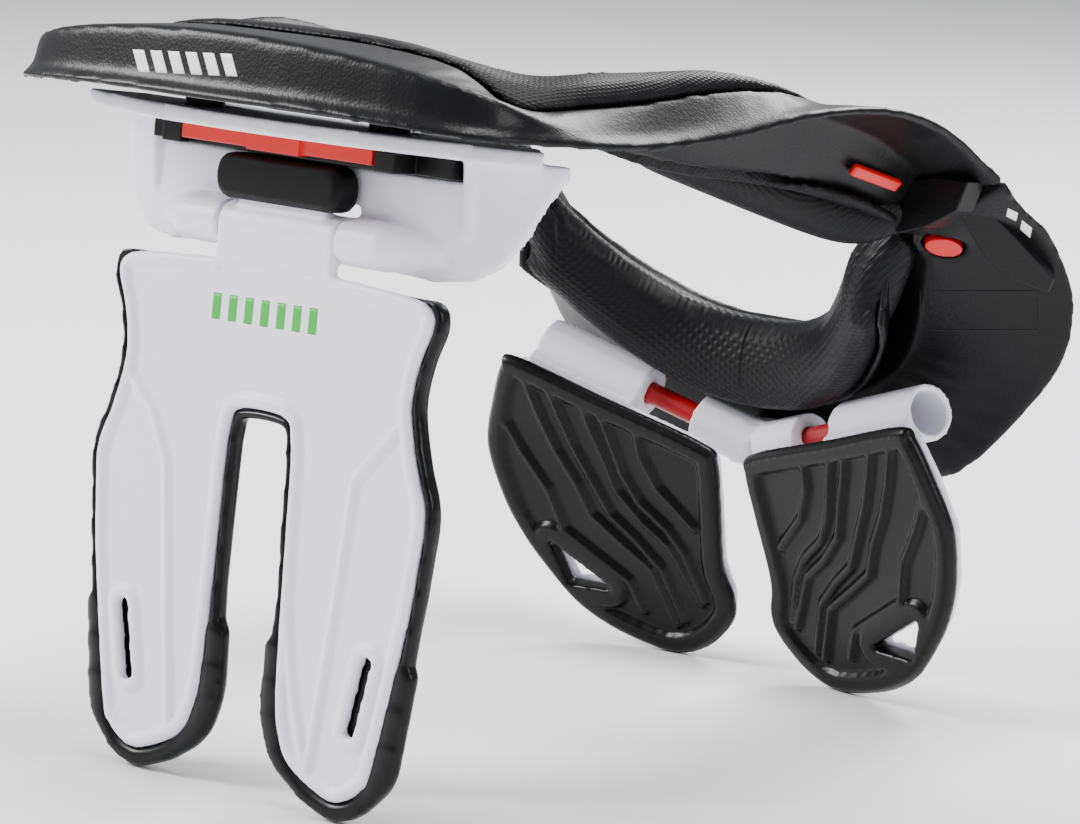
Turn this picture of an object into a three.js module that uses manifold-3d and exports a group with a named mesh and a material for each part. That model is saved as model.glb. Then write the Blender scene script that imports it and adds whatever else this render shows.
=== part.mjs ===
// Motocross neck brace: a front table with a collar pad, a chest strut that hinges on a
// sliding lower table, and a rear half that swings open and carries two back wings.
// Units are millimetres. X points to the wearer's left, Y to the rear and Z up.
// Every piece is drawn with the chest strut upright, and the finished brace is then tipped
// back until the tips of its chest legs and of its back wings stand on one floor.

import * as THREE from 'three';
import { mergeVertices } from 'three/addons/utils/BufferGeometryUtils.js';
import Module from 'manifold-3d';

const wasm = await Module();
wasm.setup();

// Collar ring
const RING_HALF = 131;       // half the width over the side arms
const RING_LENGTH = 246;     // front wall to the seam between the two halves
const RING_RISE = 58;        // crest of the collar above the datum
const FRONT_REACH = 38;      // front wall ahead of the datum
const SHELL_WALL = 3;
const LIP_REACH = 4;         // foot lip that stands out under the front wall
const LIP_STEP = 2;
const COLLAR_THICK = 7;      // foam over the crest
const COLLAR_NECK = 11;      // foam between the neck and the shell's inner wall
const COLLAR_BULGE = 4;
const COLLAR_LIP = 4.5;      // foam under the hem of the inner wall
const COLLAR_TUCK = 9;       // how far the collar's rear ends reach under the arms
const SEAM_GAP = 0.8;
const CLEARANCE = 0.3;

// Rear half
const REAR_DROP = 92;        // lowest point of the rear shell below the datum
const REAR_REACH = 66;       // rear shell behind the seam
const SHOULDER_ROWS = 3;     // rows of REAR_ROWS over which the shoulder runs out
const REAR_PAD_TALL = 33;
const REAR_PAD_FRONT = 9;    // foam on the neck side of the pad's path
const REAR_PAD_BACK = 7;

// Release buttons, latch and side hinge
const BUTTON_LONG = 14.5;
const BUTTON_TURN = 22;       // degrees from the line between knee and rim
const BUTTON_WIDE = 8.8;
const BUTTON_DEEP = 4;
const BUTTON_PROUD = 0.6;
const BUTTON_STROKE = 2;
const BUTTON_CLEAR = 0.5;
const HOUSING_WALL = 3;
const TONGUE_LONG = 7;       // along the way that the rear half swings off
const TONGUE_ROOT = 3;
const TONGUE_WIDE = 9;
const TONGUE_THICK = 2.6;
const TONGUE_DEPTH = 2.1;    // tongue's top below the top of the arm
const TONGUE_CLEAR = 1;
const SIDE_HINGE_LEAN = 30;  // degrees that the side hinge leans to the rear
const SIDE_PIN_RADIUS = 1.8;
const KNUCKLE_RADIUS = 4.6;
const KNUCKLE_TALL = 5;
const KNUCKLE_GAP = 0.8;

// Lower table
const TABLE_HALF = 104;
const SHELF_TOP = 28.4;
const SHELF_THICK = 5.4;
const SHELF_FRONT = 16;      // middle of the shelf's front edge, ahead of the datum
const SHELF_CORNER = 10;     // ends of the front edge, behind the datum
const SHELF_BACK = 24;       // back corners, behind the datum
const TABLE_WALL = 3.5;
const PANEL_MIDDLE = 10;     // panel behind the datum at its middle
const PANEL_END = 27;        // and at its ends
const WINDOW_HALF = 70;
const WINDOW_FLOOR = 12;
const WINDOW_BACK = 28;
const RIB_PROUD = 4;         // rib ahead of the panel at its top
const RIB_FOOT = -2;
const SLIDE_TRAVEL = 4;      // fore and aft from the middle setting
const RAIL_HALF = 68;
const RAIL_STEP = 53;        // beyond this the rail's front is set back
const RAIL_FRONT = 1;
const RAIL_DEEP = 20;
const RAIL_TALL = 6.5;
const STEM_SPREAD = 42;
const STEM_WIDE = 16;
const STEM_FRONT = 2;
const STEM_DEEP = 6;
const STEM_TALL = 28;
const LOCK_BAR_HALF = 43.5;
const LOCK_BAR_TALL = 4.7;
const LOCK_BAR_DEEP = 4;
const LOCK_GRIP_HALF = 12;
const LOCK_GRIP_PROUD = 1.2;

// Chest hinge
const HINGE_DROP = 8;        // hinge axis below the datum
const HINGE_BACK = 7;        // and behind it
const BARREL_RADIUS = 8;
const BARREL_END = 45.5;
const CONE_END = 64;
const CONE_TIP = 4;
const NECK_HALF = 26.8;
const HINGE_PIN_RADIUS = 2;

// Chest strut, its pad and the angle wedge
const STRUT_LENGTH = 185;    // tips of the legs below the datum
const STRUT_HALF = 75.5;
const STRUT_THICK = 4;
const STRUT_BEVEL = 1.2;
const SLOT_WIDE = 5;
const SLOT_LONG = 27;
const SLOT_LEAN = 12;
const SLOT_ALONG = 0.72;     // shares of STRUT_HALF and STRUT_LENGTH
const SLOT_DOWN = 0.81;
const PAD_RIM = 3.4;         // foam that shows around the strut
const PAD_FRONT = 1;         // front of the foam's rim behind the strut's face
const PAD_RIM_THICK = 2.6;
const PAD_THICK = 9;
const PAD_TOP_CUT = 22;      // top of the foam below the datum
const PAD_CHAMFER = 4;
const BOOT_RIM = 3;          // extra foam around the tips of the legs
const BOOT_START = 0.84;     // share of STRUT_LENGTH
const WEDGE_HALF = 28.5;
const WEDGE_TALL = 15;
const WEDGE_DEEP = 11.5;
const WEDGE_ROUND = 6;
const WEDGE_TAB_HALF = 20;
const WEDGE_TAB_THICK = 3.5;
const WEDGE_TAB_TALL = 10;

// Back wings
const WING_LENGTH = 106;
const WING_DROP = 87;
const WING_THICK = 3;
const WING_BEVEL = 0.8;
const WING_PAD_THICK = 6.5;
const WING_PAD_RIM = 2;       // foam past the edge of the plate
const WING_SWEEP = 14;       // degrees that a wing's axis turns forward at its outer end
const WING_RISE = 16;        // and rises there
const WING_RAKE = 18;        // degrees that the hinge's upright leans
const WING_LEAN = 4.5;       // and the plate against it
const WING_AXIS_REACH = 50;  // crossing of both axes behind the seam
const WING_AXIS_DROP = 84;   // and below the datum
const WING_FACE = 14.5;      // plate's front face ahead of the axis, at the plate's top
const WING_BARREL_RADIUS = 10.2;
const WING_BARREL_START = 50;
const WING_SOCKET_END = 62;
const WING_BARREL_END = 96;
const WING_BORE = 8;
const WING_PIN_RADIUS = 4;
const WING_PIN_START = 12;
const MOUNT_HALF = 13;
const MOUNT_LUG_END = 28;
const MOUNT_LUG_RADIUS = 9.4;

const SEAM_Y = RING_LENGTH - FRONT_REACH;
const TABLE_BOTTOM = SHELF_TOP - SHELF_THICK;
const ROUND = 14;
const SPANS = 3;

// Sections of the front half from the middle of the front wall to the seam. Each is a line
// in plan from the rim to the hem at the neck: x and y are shares of RING_HALF and
// RING_LENGTH, z are shares of RING_RISE, and u are shares of the way from rim to hem.
// The collar pad covers the shell from the seat to the hem.
const RING_ROWS = table(
  ['rimX', 'rimY', 'hemX', 'hemY', 'rimZ', 'foldU', 'foldZ', 'seatU', 'seatZ', 'crestU', 'crestZ', 'hemZ'],
  [
    [0.000, 0.000, 0.000, 0.260, 0.60, 0.09, 0.95, 0.55, 0.96, 0.78, 1.00, 0.62],
    [0.340, 0.006, 0.290, 0.265, 0.60, 0.09, 0.92, 0.55, 0.95, 0.78, 0.98, 0.62],
    [0.650, 0.030, 0.440, 0.290, 0.58, 0.08, 0.85, 0.55, 0.88, 0.78, 0.91, 0.62],
    [0.820, 0.080, 0.535, 0.340, 0.56, 0.08, 0.76, 0.44, 0.69, 0.72, 0.88, 0.61],
    [0.880, 0.175, 0.570, 0.415, 0.56, 0.09, 0.62, 0.38, 0.73, 0.66, 0.92, 0.57],
    [0.900, 0.317, 0.588, 0.495, 0.57, 0.12, 0.60, 0.36, 0.79, 0.60, 0.95, 0.49],
    [0.930, 0.460, 0.595, 0.577, 0.64, 0.14, 0.71, 0.36, 0.87, 0.54, 0.98, 0.44],
    [0.965, 0.600, 0.600, 0.667, 0.79, 0.15, 0.81, 0.40, 0.89, 0.56, 0.92, 0.42],
    [0.990, 0.744, 0.605, 0.772, 0.85, 0.16, 0.84, 0.48, 0.78, 0.63, 0.76, 0.38],
    [1.000, 0.870, 0.603, 0.882, 0.76, 0.18, 0.73, 0.54, 0.65, 0.69, 0.60, 0.30],
    [1.000, 1.000, 0.588, 1.000, 0.48, 0.20, 0.46, 0.58, 0.41, 0.72, 0.37, 0.15],
  ],
);

// Sections of the rear shell from the middle of the back to the seam: x are shares of
// RING_HALF, y of REAR_REACH behind the seam, and z of REAR_DROP below the datum.
const REAR_ROWS = table(
  ['topX', 'topY', 'topZ', 'kneeX', 'kneeY', 'kneeZ', 'rimX', 'rimY', 'rimZ'],
  [
    [0.000, 0.740, 0.390, 0.000, 0.820, 0.720, 0.000, 1.000, 1.000],
    [0.190, 0.710, 0.370, 0.190, 0.800, 0.700, 0.310, 0.985, 0.990],
    [0.355, 0.590, 0.290, 0.385, 0.700, 0.600, 0.595, 0.920, 0.900],
    [0.490, 0.410, 0.170, 0.540, 0.530, 0.455, 0.810, 0.870, 0.630],
    [0.580, 0.230, 0.045, 0.640, 0.335, 0.285, 0.935, 0.850, 0.400],
    [0.635, 0.120, -0.020, 0.700, 0.200, 0.130, 0.990, 0.750, 0.165],
    [0.655, 0.050, -0.055, 0.750, 0.100, 0.010, 1.000, 0.500, -0.060],
    [0.665, 0.020, -0.070, 0.775, 0.045, -0.050, 1.000, 0.230, -0.165],
    [0.670, 0.000, -0.080, 0.790, 0.000, -0.095, 1.000, 0.000, -0.268],
  ],
);

// Path of the rear collar pad from the middle of the back to the seam: x are shares of
// RING_HALF, y of REAR_REACH behind the seam, z of REAR_DROP below the datum, and turn is
// the angle in degrees between the path's outward side and the wearer's left.
const REAR_PAD_ROWS = table(
  ['x', 'y', 'z', 'turn'],
  [
    [0.000, 0.590, 0.390, 90],
    [0.168, 0.560, 0.370, 76],
    [0.320, 0.460, 0.295, 57],
    [0.435, 0.300, 0.185, 40],
    [0.530, 0.130, 0.055, 22],
    [0.575, 0.012, -0.030, 0],
  ],
);

// Half section of the rear collar pad: out is the share of the foam's depth on that side of
// the path, minus towards the neck, and down is the share of REAR_PAD_TALL.
const REAR_PAD_SECTION = table(
  ['out', 'down'],
  [
    [1.00, 0.10], [1.00, 0.90], [0.40, 1.00], [-0.45, 0.97], [-0.88, 0.78],
    [-1.00, 0.50], [-0.85, 0.22], [-0.40, 0.03], [0.45, 0.00],
  ],
);

// Bottom edge of the lower table from its middle to its end, as shares of TABLE_HALF and of
// TABLE_BOTTOM, where a minus lies below the datum.
const TABLE_ROWS = table(
  ['along', 'bottom'],
  [
    [0.000, 0.14], [0.262, 0.14], [0.266, -0.52], [0.440, -0.70], [0.580, -0.74],
    [0.710, -0.66], [0.800, -0.42], [0.865, 0.00], [0.910, 0.45], [0.960, 0.85],
  ],
);

// Outline of half the chest strut from the hinge's neck down and back up to the fork, as
// shares of STRUT_HALF and STRUT_LENGTH.
const STRUT_ROWS = table(
  ['along', 'down'],
  [
    [0.355, 0.106], [0.795, 0.116], [0.927, 0.130], [0.954, 0.162], [0.895, 0.225],
    [0.868, 0.303], [0.925, 0.395], [1.000, 0.476], [0.985, 0.575], [0.954, 0.676],
    [0.834, 0.924], [0.775, 0.970], [0.682, 0.995], [0.593, 1.000], [0.437, 0.978],
    [0.331, 0.951], [0.275, 0.914], [0.236, 0.849], [0.217, 0.676], [0.205, 0.476],
    [0.191, 0.400], [0.139, 0.362],
  ],
);

// Outline of a wing and the corners of its slot, as shares of WING_LENGTH outward from the
// middle of the back and of WING_DROP below the top of the plate.
const WING_ROWS = table(
  ['along', 'down'],
  [
    [0.150, -0.020], [0.560, -0.010], [0.940, 0.000], [0.985, 0.060], [1.000, 0.230],
    [0.995, 0.470], [0.900, 0.690], [0.795, 0.830], [0.690, 0.925], [0.540, 1.030],
    [0.380, 1.070], [0.200, 1.060], [0.080, 1.020], [-0.020, 0.910], [-0.085, 0.750],
    [-0.075, 0.640], [-0.010, 0.510], [0.045, 0.220], [0.085, 0.040],
  ],
);
const WING_SLOT = table(['along', 'down'], [[0.680, 0.790], [0.570, 0.940], [0.395, 0.870]]);

function table(columns, rows) {
  return rows.map((row) => Object.fromEntries(columns.map((column, i) => [column, row[i]])));
}

// Finishes
const finish = (color, roughness, metalness = 0) => () =>
  new THREE.MeshStandardMaterial({ color, roughness, metalness });
const blackShell = finish(0x232326, 0.5);
const blackFoam = finish(0x1c1c1e, 0.85);
const blackRubber = finish(0x19191a, 0.75);
const whitePlastic = finish(0xe4e3ea, 0.45);
const redPlastic = finish(0xe0322c, 0.4);
const steel = finish(0x8c8e92, 0.35, 1);

// Tables as smooth runs

// Rows of both halves from one end to the other, with the named columns negated.
function mirrored(rows, negated) {
  const other = rows.slice(1).reverse().map((row) => {
    const copy = { ...row };
    for (const column of negated) copy[column] = -copy[column];
    return copy;
  });
  return [...other, ...rows];
}

// Value at share t between b and c of a smooth run through a, b, c and d.
function blend(a, b, c, d, t) {
  const linear = c - a;
  const square = 2 * a - 5 * b + 4 * c - d;
  const cube = 3 * b - a - 3 * c + d;
  return (2 * b + linear * t + square * t ** 2 + cube * t ** 3) / 2;
}

// The row at a place along a table, where whole numbers are its rows.
function rowAt(rows, place) {
  const last = rows.length - 1;
  const i = Math.min(Math.floor(place), last - 1);
  const t = place - i;
  const [a, b, c, d] = [i - 1, i, i + 1, i + 2].map((k) => rows[Math.min(Math.max(k, 0), last)]);
  const value = (key) => blend(a[key], b[key], c[key], d[key], t);
  return Object.fromEntries(Object.keys(b).map((key) => [key, value(key)]));
}

function sampled(rows, spans) {
  const count = (rows.length - 1) * spans;
  return Array.from({ length: count + 1 }, (_, k) => rowAt(rows, k / spans));
}

// Closed bodies

function geometryOf(points, index) {
  const geometry = new THREE.BufferGeometry();
  geometry.setAttribute('position', new THREE.Float32BufferAttribute(points.flatMap((p) => p.toArray()), 3));
  geometry.setIndex(index);
  return signedVolume(points, index) < 0 ? turnedOut(geometry) : geometry;
}

function signedVolume(points, index) {
  let volume = 0;
  for (let i = 0; i < index.length; i += 3) {
    const [a, b, c] = [points[index[i]], points[index[i + 1]], points[index[i + 2]]];
    volume += a.dot(b.clone().cross(c)) / 6;
  }
  return volume;
}

function turnedOut(geometry) {
  const index = Array.from(geometry.getIndex().array);
  for (let i = 0; i < index.length; i += 3) [index[i], index[i + 1]] = [index[i + 1], index[i]];
  geometry.setIndex(index);
  return geometry;
}

// A body through closed sections with the same number of points. Each end is closed by a
// fan around the middle of its section.
function loft(sections) {
  const size = sections[0].length;
  const points = sections.flat();
  const index = [];
  for (let s = 0; s < sections.length - 1; s += 1) {
    for (let p = 0; p < size; p += 1) {
      const a = s * size + p;
      const b = s * size + ((p + 1) % size);
      index.push(a, b, b + size, a, b + size, a + size);
    }
  }
  const ends = [[sections[0], 0, true], [sections.at(-1), (sections.length - 1) * size, false]];
  for (const [section, first, isStart] of ends) {
    const middle = points.length;
    points.push(section.reduce((sum, p) => sum.add(p), new THREE.Vector3()).divideScalar(size));
    for (let p = 0; p < size; p += 1) {
      const pair = [first + p, first + ((p + 1) % size)];
      index.push(middle, ...(isStart ? pair.reverse() : pair));
    }
  }
  return asSolid(geometryOf(points, index));
}

// Unit normals of a grid of points, one list of points a section, turned to the given side.
function gridNormals(grid, side) {
  return grid.map((row, s) => row.map((_, p) => {
    const along = grid[Math.min(s + 1, grid.length - 1)][p].clone().sub(grid[Math.max(s - 1, 0)][p]);
    const across = row[Math.min(p + 1, row.length - 1)].clone().sub(row[Math.max(p - 1, 0)]);
    return along.cross(across).normalize().multiplyScalar(side);
  }));
}

function offsetGrid(grid, normals, distance) {
  return grid.map((row, s) => row.map((point, p) => point.clone().addScaledVector(normals[s][p], distance)));
}

// The grid with one more point past the end of each section and one more section past each
// end, in line with the last two.
function extended(grid, reach) {
  const beyond = (before, end) => end.clone().addScaledVector(end.clone().sub(before).normalize(), reach);
  const long = grid.map((row) => [...row, beyond(row.at(-2), row.at(-1))]);
  const first = long[0].map((point, p) => beyond(long[1][p], point));
  const last = long.at(-1).map((point, p) => beyond(long.at(-2)[p], point));
  return [first, ...long, last];
}

// A wall between two grids of the same size.
function sheet(front, back) {
  const wide = front[0].length;
  const points = [...front.flat(), ...back.flat()];
  const behind = front.length * wide;
  const index = [];
  const quad = (a, b, c, d) => index.push(a, b, c, a, c, d);
  for (let s = 0; s < front.length - 1; s += 1) {
    for (let p = 0; p < wide - 1; p += 1) {
      const a = s * wide + p;
      quad(a, a + 1, a + wide + 1, a + wide);
      quad(behind + a, behind + a + wide, behind + a + wide + 1, behind + a + 1);
    }
    const [low, high] = [s * wide, s * wide + wide - 1];
    quad(low, low + wide, behind + low + wide, behind + low);
    quad(high, behind + high, behind + high + wide, high + wide);
  }
  for (let p = 0; p < wide - 1; p += 1) {
    const end = (front.length - 1) * wide + p;
    quad(p, behind + p, behind + p + 1, p + 1);
    quad(end, end + 1, behind + end + 1, behind + end);
  }
  return asSolid(geometryOf(points, index));
}

// A geometry as a solid that can be joined and cut.
function asSolid(geometry) {
  geometry.deleteAttribute('normal');
  geometry.deleteAttribute('uv');
  const merged = mergeVertices(geometry, 1e-4);
  return new wasm.Manifold(new wasm.Mesh({
    numProp: 3,
    vertProperties: new Float32Array(merged.attributes.position.array),
    triVerts: new Uint32Array(merged.getIndex().array),
  }));
}

function asGeometry(solid) {
  const { vertProperties, triVerts } = solid.simplify(0.05).getMesh();
  const geometry = new THREE.BufferGeometry();
  geometry.setAttribute('position', new THREE.BufferAttribute(new Float32Array(vertProperties), 3));
  geometry.setIndex(new THREE.BufferAttribute(new Uint32Array(triVerts), 1));
  geometry.computeVertexNormals();
  return geometry;
}

const joined = (first, ...others) => others.reduce((sum, other) => sum.add(other), first);
const cut = (first, ...tools) => tools.reduce((rest, tool) => rest.subtract(tool), first);

// The main body of a solid, without the crumbs that a cut leaves at its edges.
const mainBody = (solid) => solid.decompose().sort((a, b) => b.volume() - a.volume())[0];

function block(minX, maxX, minY, maxY, minZ, maxZ) {
  const geometry = new THREE.BoxGeometry(maxX - minX, maxY - minY, maxZ - minZ);
  geometry.translate((minX + maxX) / 2, (minY + maxY) / 2, (minZ + maxZ) / 2);
  return asSolid(geometry);
}

// A round bar along X between two places.
function barX(radius, startX, endX, y, z, sides = ROUND) {
  const geometry = new THREE.CylinderGeometry(radius, radius, Math.abs(endX - startX), sides);
  geometry.rotateZ(Math.PI / 2);
  geometry.translate((startX + endX) / 2, y, z);
  return asSolid(geometry);
}

// A plate drawn in X and Z, with its front face at a given y.
function plateXZ(points, frontY, thick, bevel = 0) {
  const geometry = new THREE.ExtrudeGeometry(new THREE.Shape(points), {
    depth: thick - 2 * bevel,
    bevelEnabled: bevel > 0,
    bevelThickness: bevel,
    bevelSize: bevel,
    bevelOffset: -bevel,
    bevelSegments: 1,
    steps: 1,
  });
  geometry.rotateX(Math.PI / 2);
  geometry.translate(0, frontY + thick - bevel, 0);
  return asSolid(geometry);
}

// Cutters for holes of given outlines through a plate.
const holesXZ = (outlines, frontY, backY) => (
  outlines.map((outline) => plateXZ(outline, frontY, backY - frontY))
);

function moved(solid, matrix) {
  const geometry = asGeometry(solid);
  geometry.applyMatrix4(matrix);
  const flipped = matrix.determinant() < 0 ? turnedOut(geometry) : geometry;
  return asSolid(flipped);
}

const mirrorX = new THREE.Matrix4().makeScale(-1, 1, 1);

// Both copies of a solid that is drawn on the wearer's left.
const pair = (solid) => [solid, moved(solid, mirrorX)];

// The outline moved outward by an amount that a function gives for each point.
function widened(outline, amountAt) {
  return outline.map((point, i) => {
    const before = outline[(i + outline.length - 1) % outline.length];
    const after = outline[(i + 1) % outline.length];
    const [inward, outward] = [point.clone().sub(before).normalize(), after.clone().sub(point).normalize()];
    const bisector = inward.clone().add(outward).normalize();
    const normal = new THREE.Vector2(bisector.y, -bisector.x);
    const spread = Math.max(normal.dot(new THREE.Vector2(inward.y, -inward.x)), 0.5);
    return point.clone().addScaledVector(normal, amountAt(point) / spread);
  });
}

const radians = THREE.MathUtils.degToRad;
const lerp = THREE.MathUtils.lerp;

// Front half of the ring

// Key points of one section of the front half, as places from the rim to the hem.
function ringSection(row) {
  const rim = new THREE.Vector2(row.rimX * RING_HALF, row.rimY * RING_LENGTH - FRONT_REACH);
  const hem = new THREE.Vector2(row.hemX * RING_HALF, row.hemY * RING_LENGTH - FRONT_REACH);
  const span = rim.distanceTo(hem);
  const tuck = THREE.MathUtils.smoothstep(row.rimY, 0.55, 0.9);
  return {
    span,
    tuck: COLLAR_TUCK * tuck,
    rimZ: row.rimZ * RING_RISE,
    fold: [row.foldU * span, row.foldZ * RING_RISE],
    seat: [row.seatU * span, row.seatZ * RING_RISE],
    crest: [row.crestU * span, row.crestZ * RING_RISE],
    hem: [span, row.hemZ * RING_RISE],
    place(along, height) {
      const plan = rim.clone().lerp(hem, along / span);
      return new THREE.Vector3(plan.x, plan.y, height);
    },
  };
}

const ringSections = sampled(mirrored(RING_ROWS, ['rimX', 'hemX']), SPANS).map(ringSection);

// Top side of the shell: lip, wall, top, crest under the foam and inner wall.
function shellLine(section) {
  const { rimZ, fold, seat, crest, hem } = section;
  const wallFoot = Math.min(LIP_REACH, fold[0] * 0.7);
  const innerWall = hem[0] - COLLAR_NECK;
  return [
    section.place(0, rimZ),
    section.place(wallFoot, Math.min(rimZ + LIP_STEP, (rimZ + fold[1]) / 2)),
    section.place(...fold),
    section.place(...seat),
    section.place(Math.min(crest[0] - 2, innerWall - 1), Math.min(crest[1], seat[1] + 1) - COLLAR_THICK),
    section.place(innerWall, hem[1]),
  ];
}

const frontTop = ringSections.map(shellLine);
const frontNormals = gridNormals(frontTop, 1);
const frontUnder = offsetGrid(frontTop, frontNormals, -SHELL_WALL);

// Rear half of the ring

function rearLine(row) {
  const point = (x, y, z) => new THREE.Vector3(
    x * RING_HALF,
    SEAM_Y + SEAM_GAP + y * REAR_REACH,
    -z * REAR_DROP,
  );
  const top = point(row.topX, row.topY, row.topZ);
  const knee = point(row.kneeX, row.kneeY, row.kneeZ);
  const rim = point(row.rimX, row.rimY, row.rimZ);
  return [top, knee, knee.clone().lerp(rim, 0.5), rim];
}

const rearRows = mirrored(REAR_ROWS, ['topX', 'kneeX', 'rimX']);
const rearFront = sampled(rearRows, SPANS).map(rearLine);
const rearNormals = gridNormals(rearFront, 1);
const rearBack = offsetGrid(rearFront, rearNormals, SHELL_WALL);

// A frame on the rear shell: its origin lies on the front face, x runs up to the rim, y
// along the shell away from the seam and z through the wall to its back.
function rearFrame(place, share) {
  const [, knee, , rim] = rearLine(rowAt(REAR_ROWS, place));
  const [, kneeOn, , rimOn] = rearLine(rowAt(REAR_ROWS, place - 0.1));
  const origin = knee.clone().lerp(rim, share);
  const up = rim.clone().sub(knee).normalize();
  const along = kneeOn.clone().lerp(rimOn, share).sub(origin).normalize();
  const through = up.clone().cross(along).normalize();
  return new THREE.Matrix4().makeBasis(up, through.clone().cross(up), through).setPosition(origin);
}

const LAST_ROW = REAR_ROWS.length - 1;
const buttonFrame = rearFrame(LAST_ROW - 1.85, 0.1);

// The latch frame lies on the top of the arm at the seam: x runs to the rim, and y the way
// that the rear half moves off as it swings on the leaning side hinge.
const latchFrame = (() => {
  const [, , fold, seat] = frontTop.at(-1);
  const lean = radians(SIDE_HINGE_LEAN);
  const along = new THREE.Vector3(0, Math.cos(lean), -Math.sin(lean));
  const above = fold.clone().sub(seat).cross(along).normalize();
  const origin = fold.clone().lerp(seat, 0.5).setY(SEAM_Y + SEAM_GAP / 2);
  return new THREE.Matrix4().makeBasis(along.clone().cross(above), along, above).setPosition(origin);
})();

// A point of a rear line at a share of the way across from its rim.
function pointAcross(line, share) {
  const x = lerp(line.at(-1).x, line[0].x, share);
  const i = Math.max(line.findIndex((point) => point.x >= x), 1);
  return line[i - 1].clone().lerp(line[i], (x - line[i - 1].x) / (line[i].x - line[i - 1].x));
}

// Solid shoulder at the seam. Its top carries on the top of the arm and runs out on the
// rear shell, and its underside is the shell's front face.
function rearShoulder() {
  const seam = rearLine(REAR_ROWS[LAST_ROW]);
  const inside = SHELL_WALL / 2;
  const rises = frontTop.at(-1).slice(1).map((point) => {
    const share = THREE.MathUtils.clamp((seam.at(-1).x - point.x) / (seam.at(-1).x - seam[0].x), 0.02, 1);
    return { share, rise: Math.max(point.z - inside - pointAcross(seam, share).z, 0) };
  });
  const count = SHOULDER_ROWS * SPANS;
  const sections = Array.from({ length: count + 1 }, (_, i) => {
    const line = rearLine(rowAt(REAR_ROWS, LAST_ROW - i / SPANS));
    const fade = (1 - i / count) ** 2;
    const top = rises.map(({ share, rise }) => (
      pointAcross(line, share).add(new THREE.Vector3(0, 0, inside + rise * fade))
    ));
    return [...line, ...top];
  });
  return loft(sections);
}

// A block in the frame of a matrix, from its least to its greatest corner.
const blockIn = (matrix, ...bounds) => moved(block(...bounds), matrix);

// Side hinge on the wearer's right: x runs inboard, y away from the front half, z along the pin.
const sideHinge = new THREE.Matrix4()
  .makeTranslation(
    KNUCKLE_RADIUS - RING_HALF,
    SEAM_Y + SEAM_GAP / 2,
    RING_ROWS.at(-1).rimZ * RING_RISE - SHELL_WALL / 2,
  )
  .multiply(new THREE.Matrix4().makeRotationX(-radians(SIDE_HINGE_LEAN)));

function sideBar(radius, low, high) {
  const geometry = new THREE.CylinderGeometry(radius, radius, high - low, ROUND);
  geometry.rotateX(Math.PI / 2);
  geometry.translate(0, 0, (low + high) / 2);
  geometry.applyMatrix4(sideHinge);
  return asSolid(geometry);
}

// Levels of the hinge's parts along the pin: the rear half's knuckle lies in the middle.
const rearKnuckle = [-KNUCKLE_TALL / 2, KNUCKLE_TALL / 2];
const frontKnuckles = [-1, 1].map((way) => {
  const near = way * (KNUCKLE_TALL / 2 + KNUCKLE_GAP);
  return [near, near + way * KNUCKLE_TALL].sort((a, b) => a - b);
});
const pinEnd = frontKnuckles[1][1];
const knuckleArm = 2.6 * KNUCKLE_RADIUS;
const pinBore = sideBar(SIDE_PIN_RADIUS + CLEARANCE, -pinEnd - 1, pinEnd + 1);

function clearanceAround(low, high) {
  return sideBar(KNUCKLE_RADIUS + KNUCKLE_GAP, low - KNUCKLE_GAP, high + KNUCKLE_GAP);
}

function frontHinge() {
  const post = blockIn(
    sideHinge, -KNUCKLE_RADIUS, KNUCKLE_RADIUS, -knuckleArm, -1.4 * KNUCKLE_RADIUS, -pinEnd, pinEnd);
  const knuckles = frontKnuckles.flatMap(([low, high]) => [
    sideBar(KNUCKLE_RADIUS, low, high),
    blockIn(sideHinge, -KNUCKLE_RADIUS, KNUCKLE_RADIUS, -knuckleArm, 0, low, high),
  ]);
  return joined(post, ...knuckles);
}

function rearHinge() {
  const arm = blockIn(sideHinge, -KNUCKLE_RADIUS, KNUCKLE_RADIUS, 0, knuckleArm, ...rearKnuckle);
  return joined(sideBar(KNUCKLE_RADIUS, ...rearKnuckle), arm);
}

// Posts under the front table that carry the slide rail through the shelf.
function stems() {
  const stem = block(
    STEM_SPREAD - STEM_WIDE / 2, STEM_SPREAD + STEM_WIDE / 2,
    STEM_FRONT, STEM_FRONT + STEM_DEEP,
    TABLE_BOTTOM - CLEARANCE, TABLE_BOTTOM + STEM_TALL,
  );
  return pair(stem);
}

// Latch tongue, or the room for it with a clearance around.
function latchBar(start, grow) {
  return blockIn(
    latchFrame,
    -TONGUE_WIDE / 2 - grow, TONGUE_WIDE / 2 + grow,
    start, TONGUE_LONG + grow,
    -TONGUE_DEPTH - TONGUE_THICK - grow, -TONGUE_DEPTH + grow,
  );
}

function frontTable() {
  const tongue = latchBar(-TONGUE_ROOT, 0);
  const shell = cut(sheet(frontTop, frontUnder), clearanceAround(...rearKnuckle));
  return cut(joined(shell, tongue, frontHinge(), ...stems()), pinBore);
}

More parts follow.
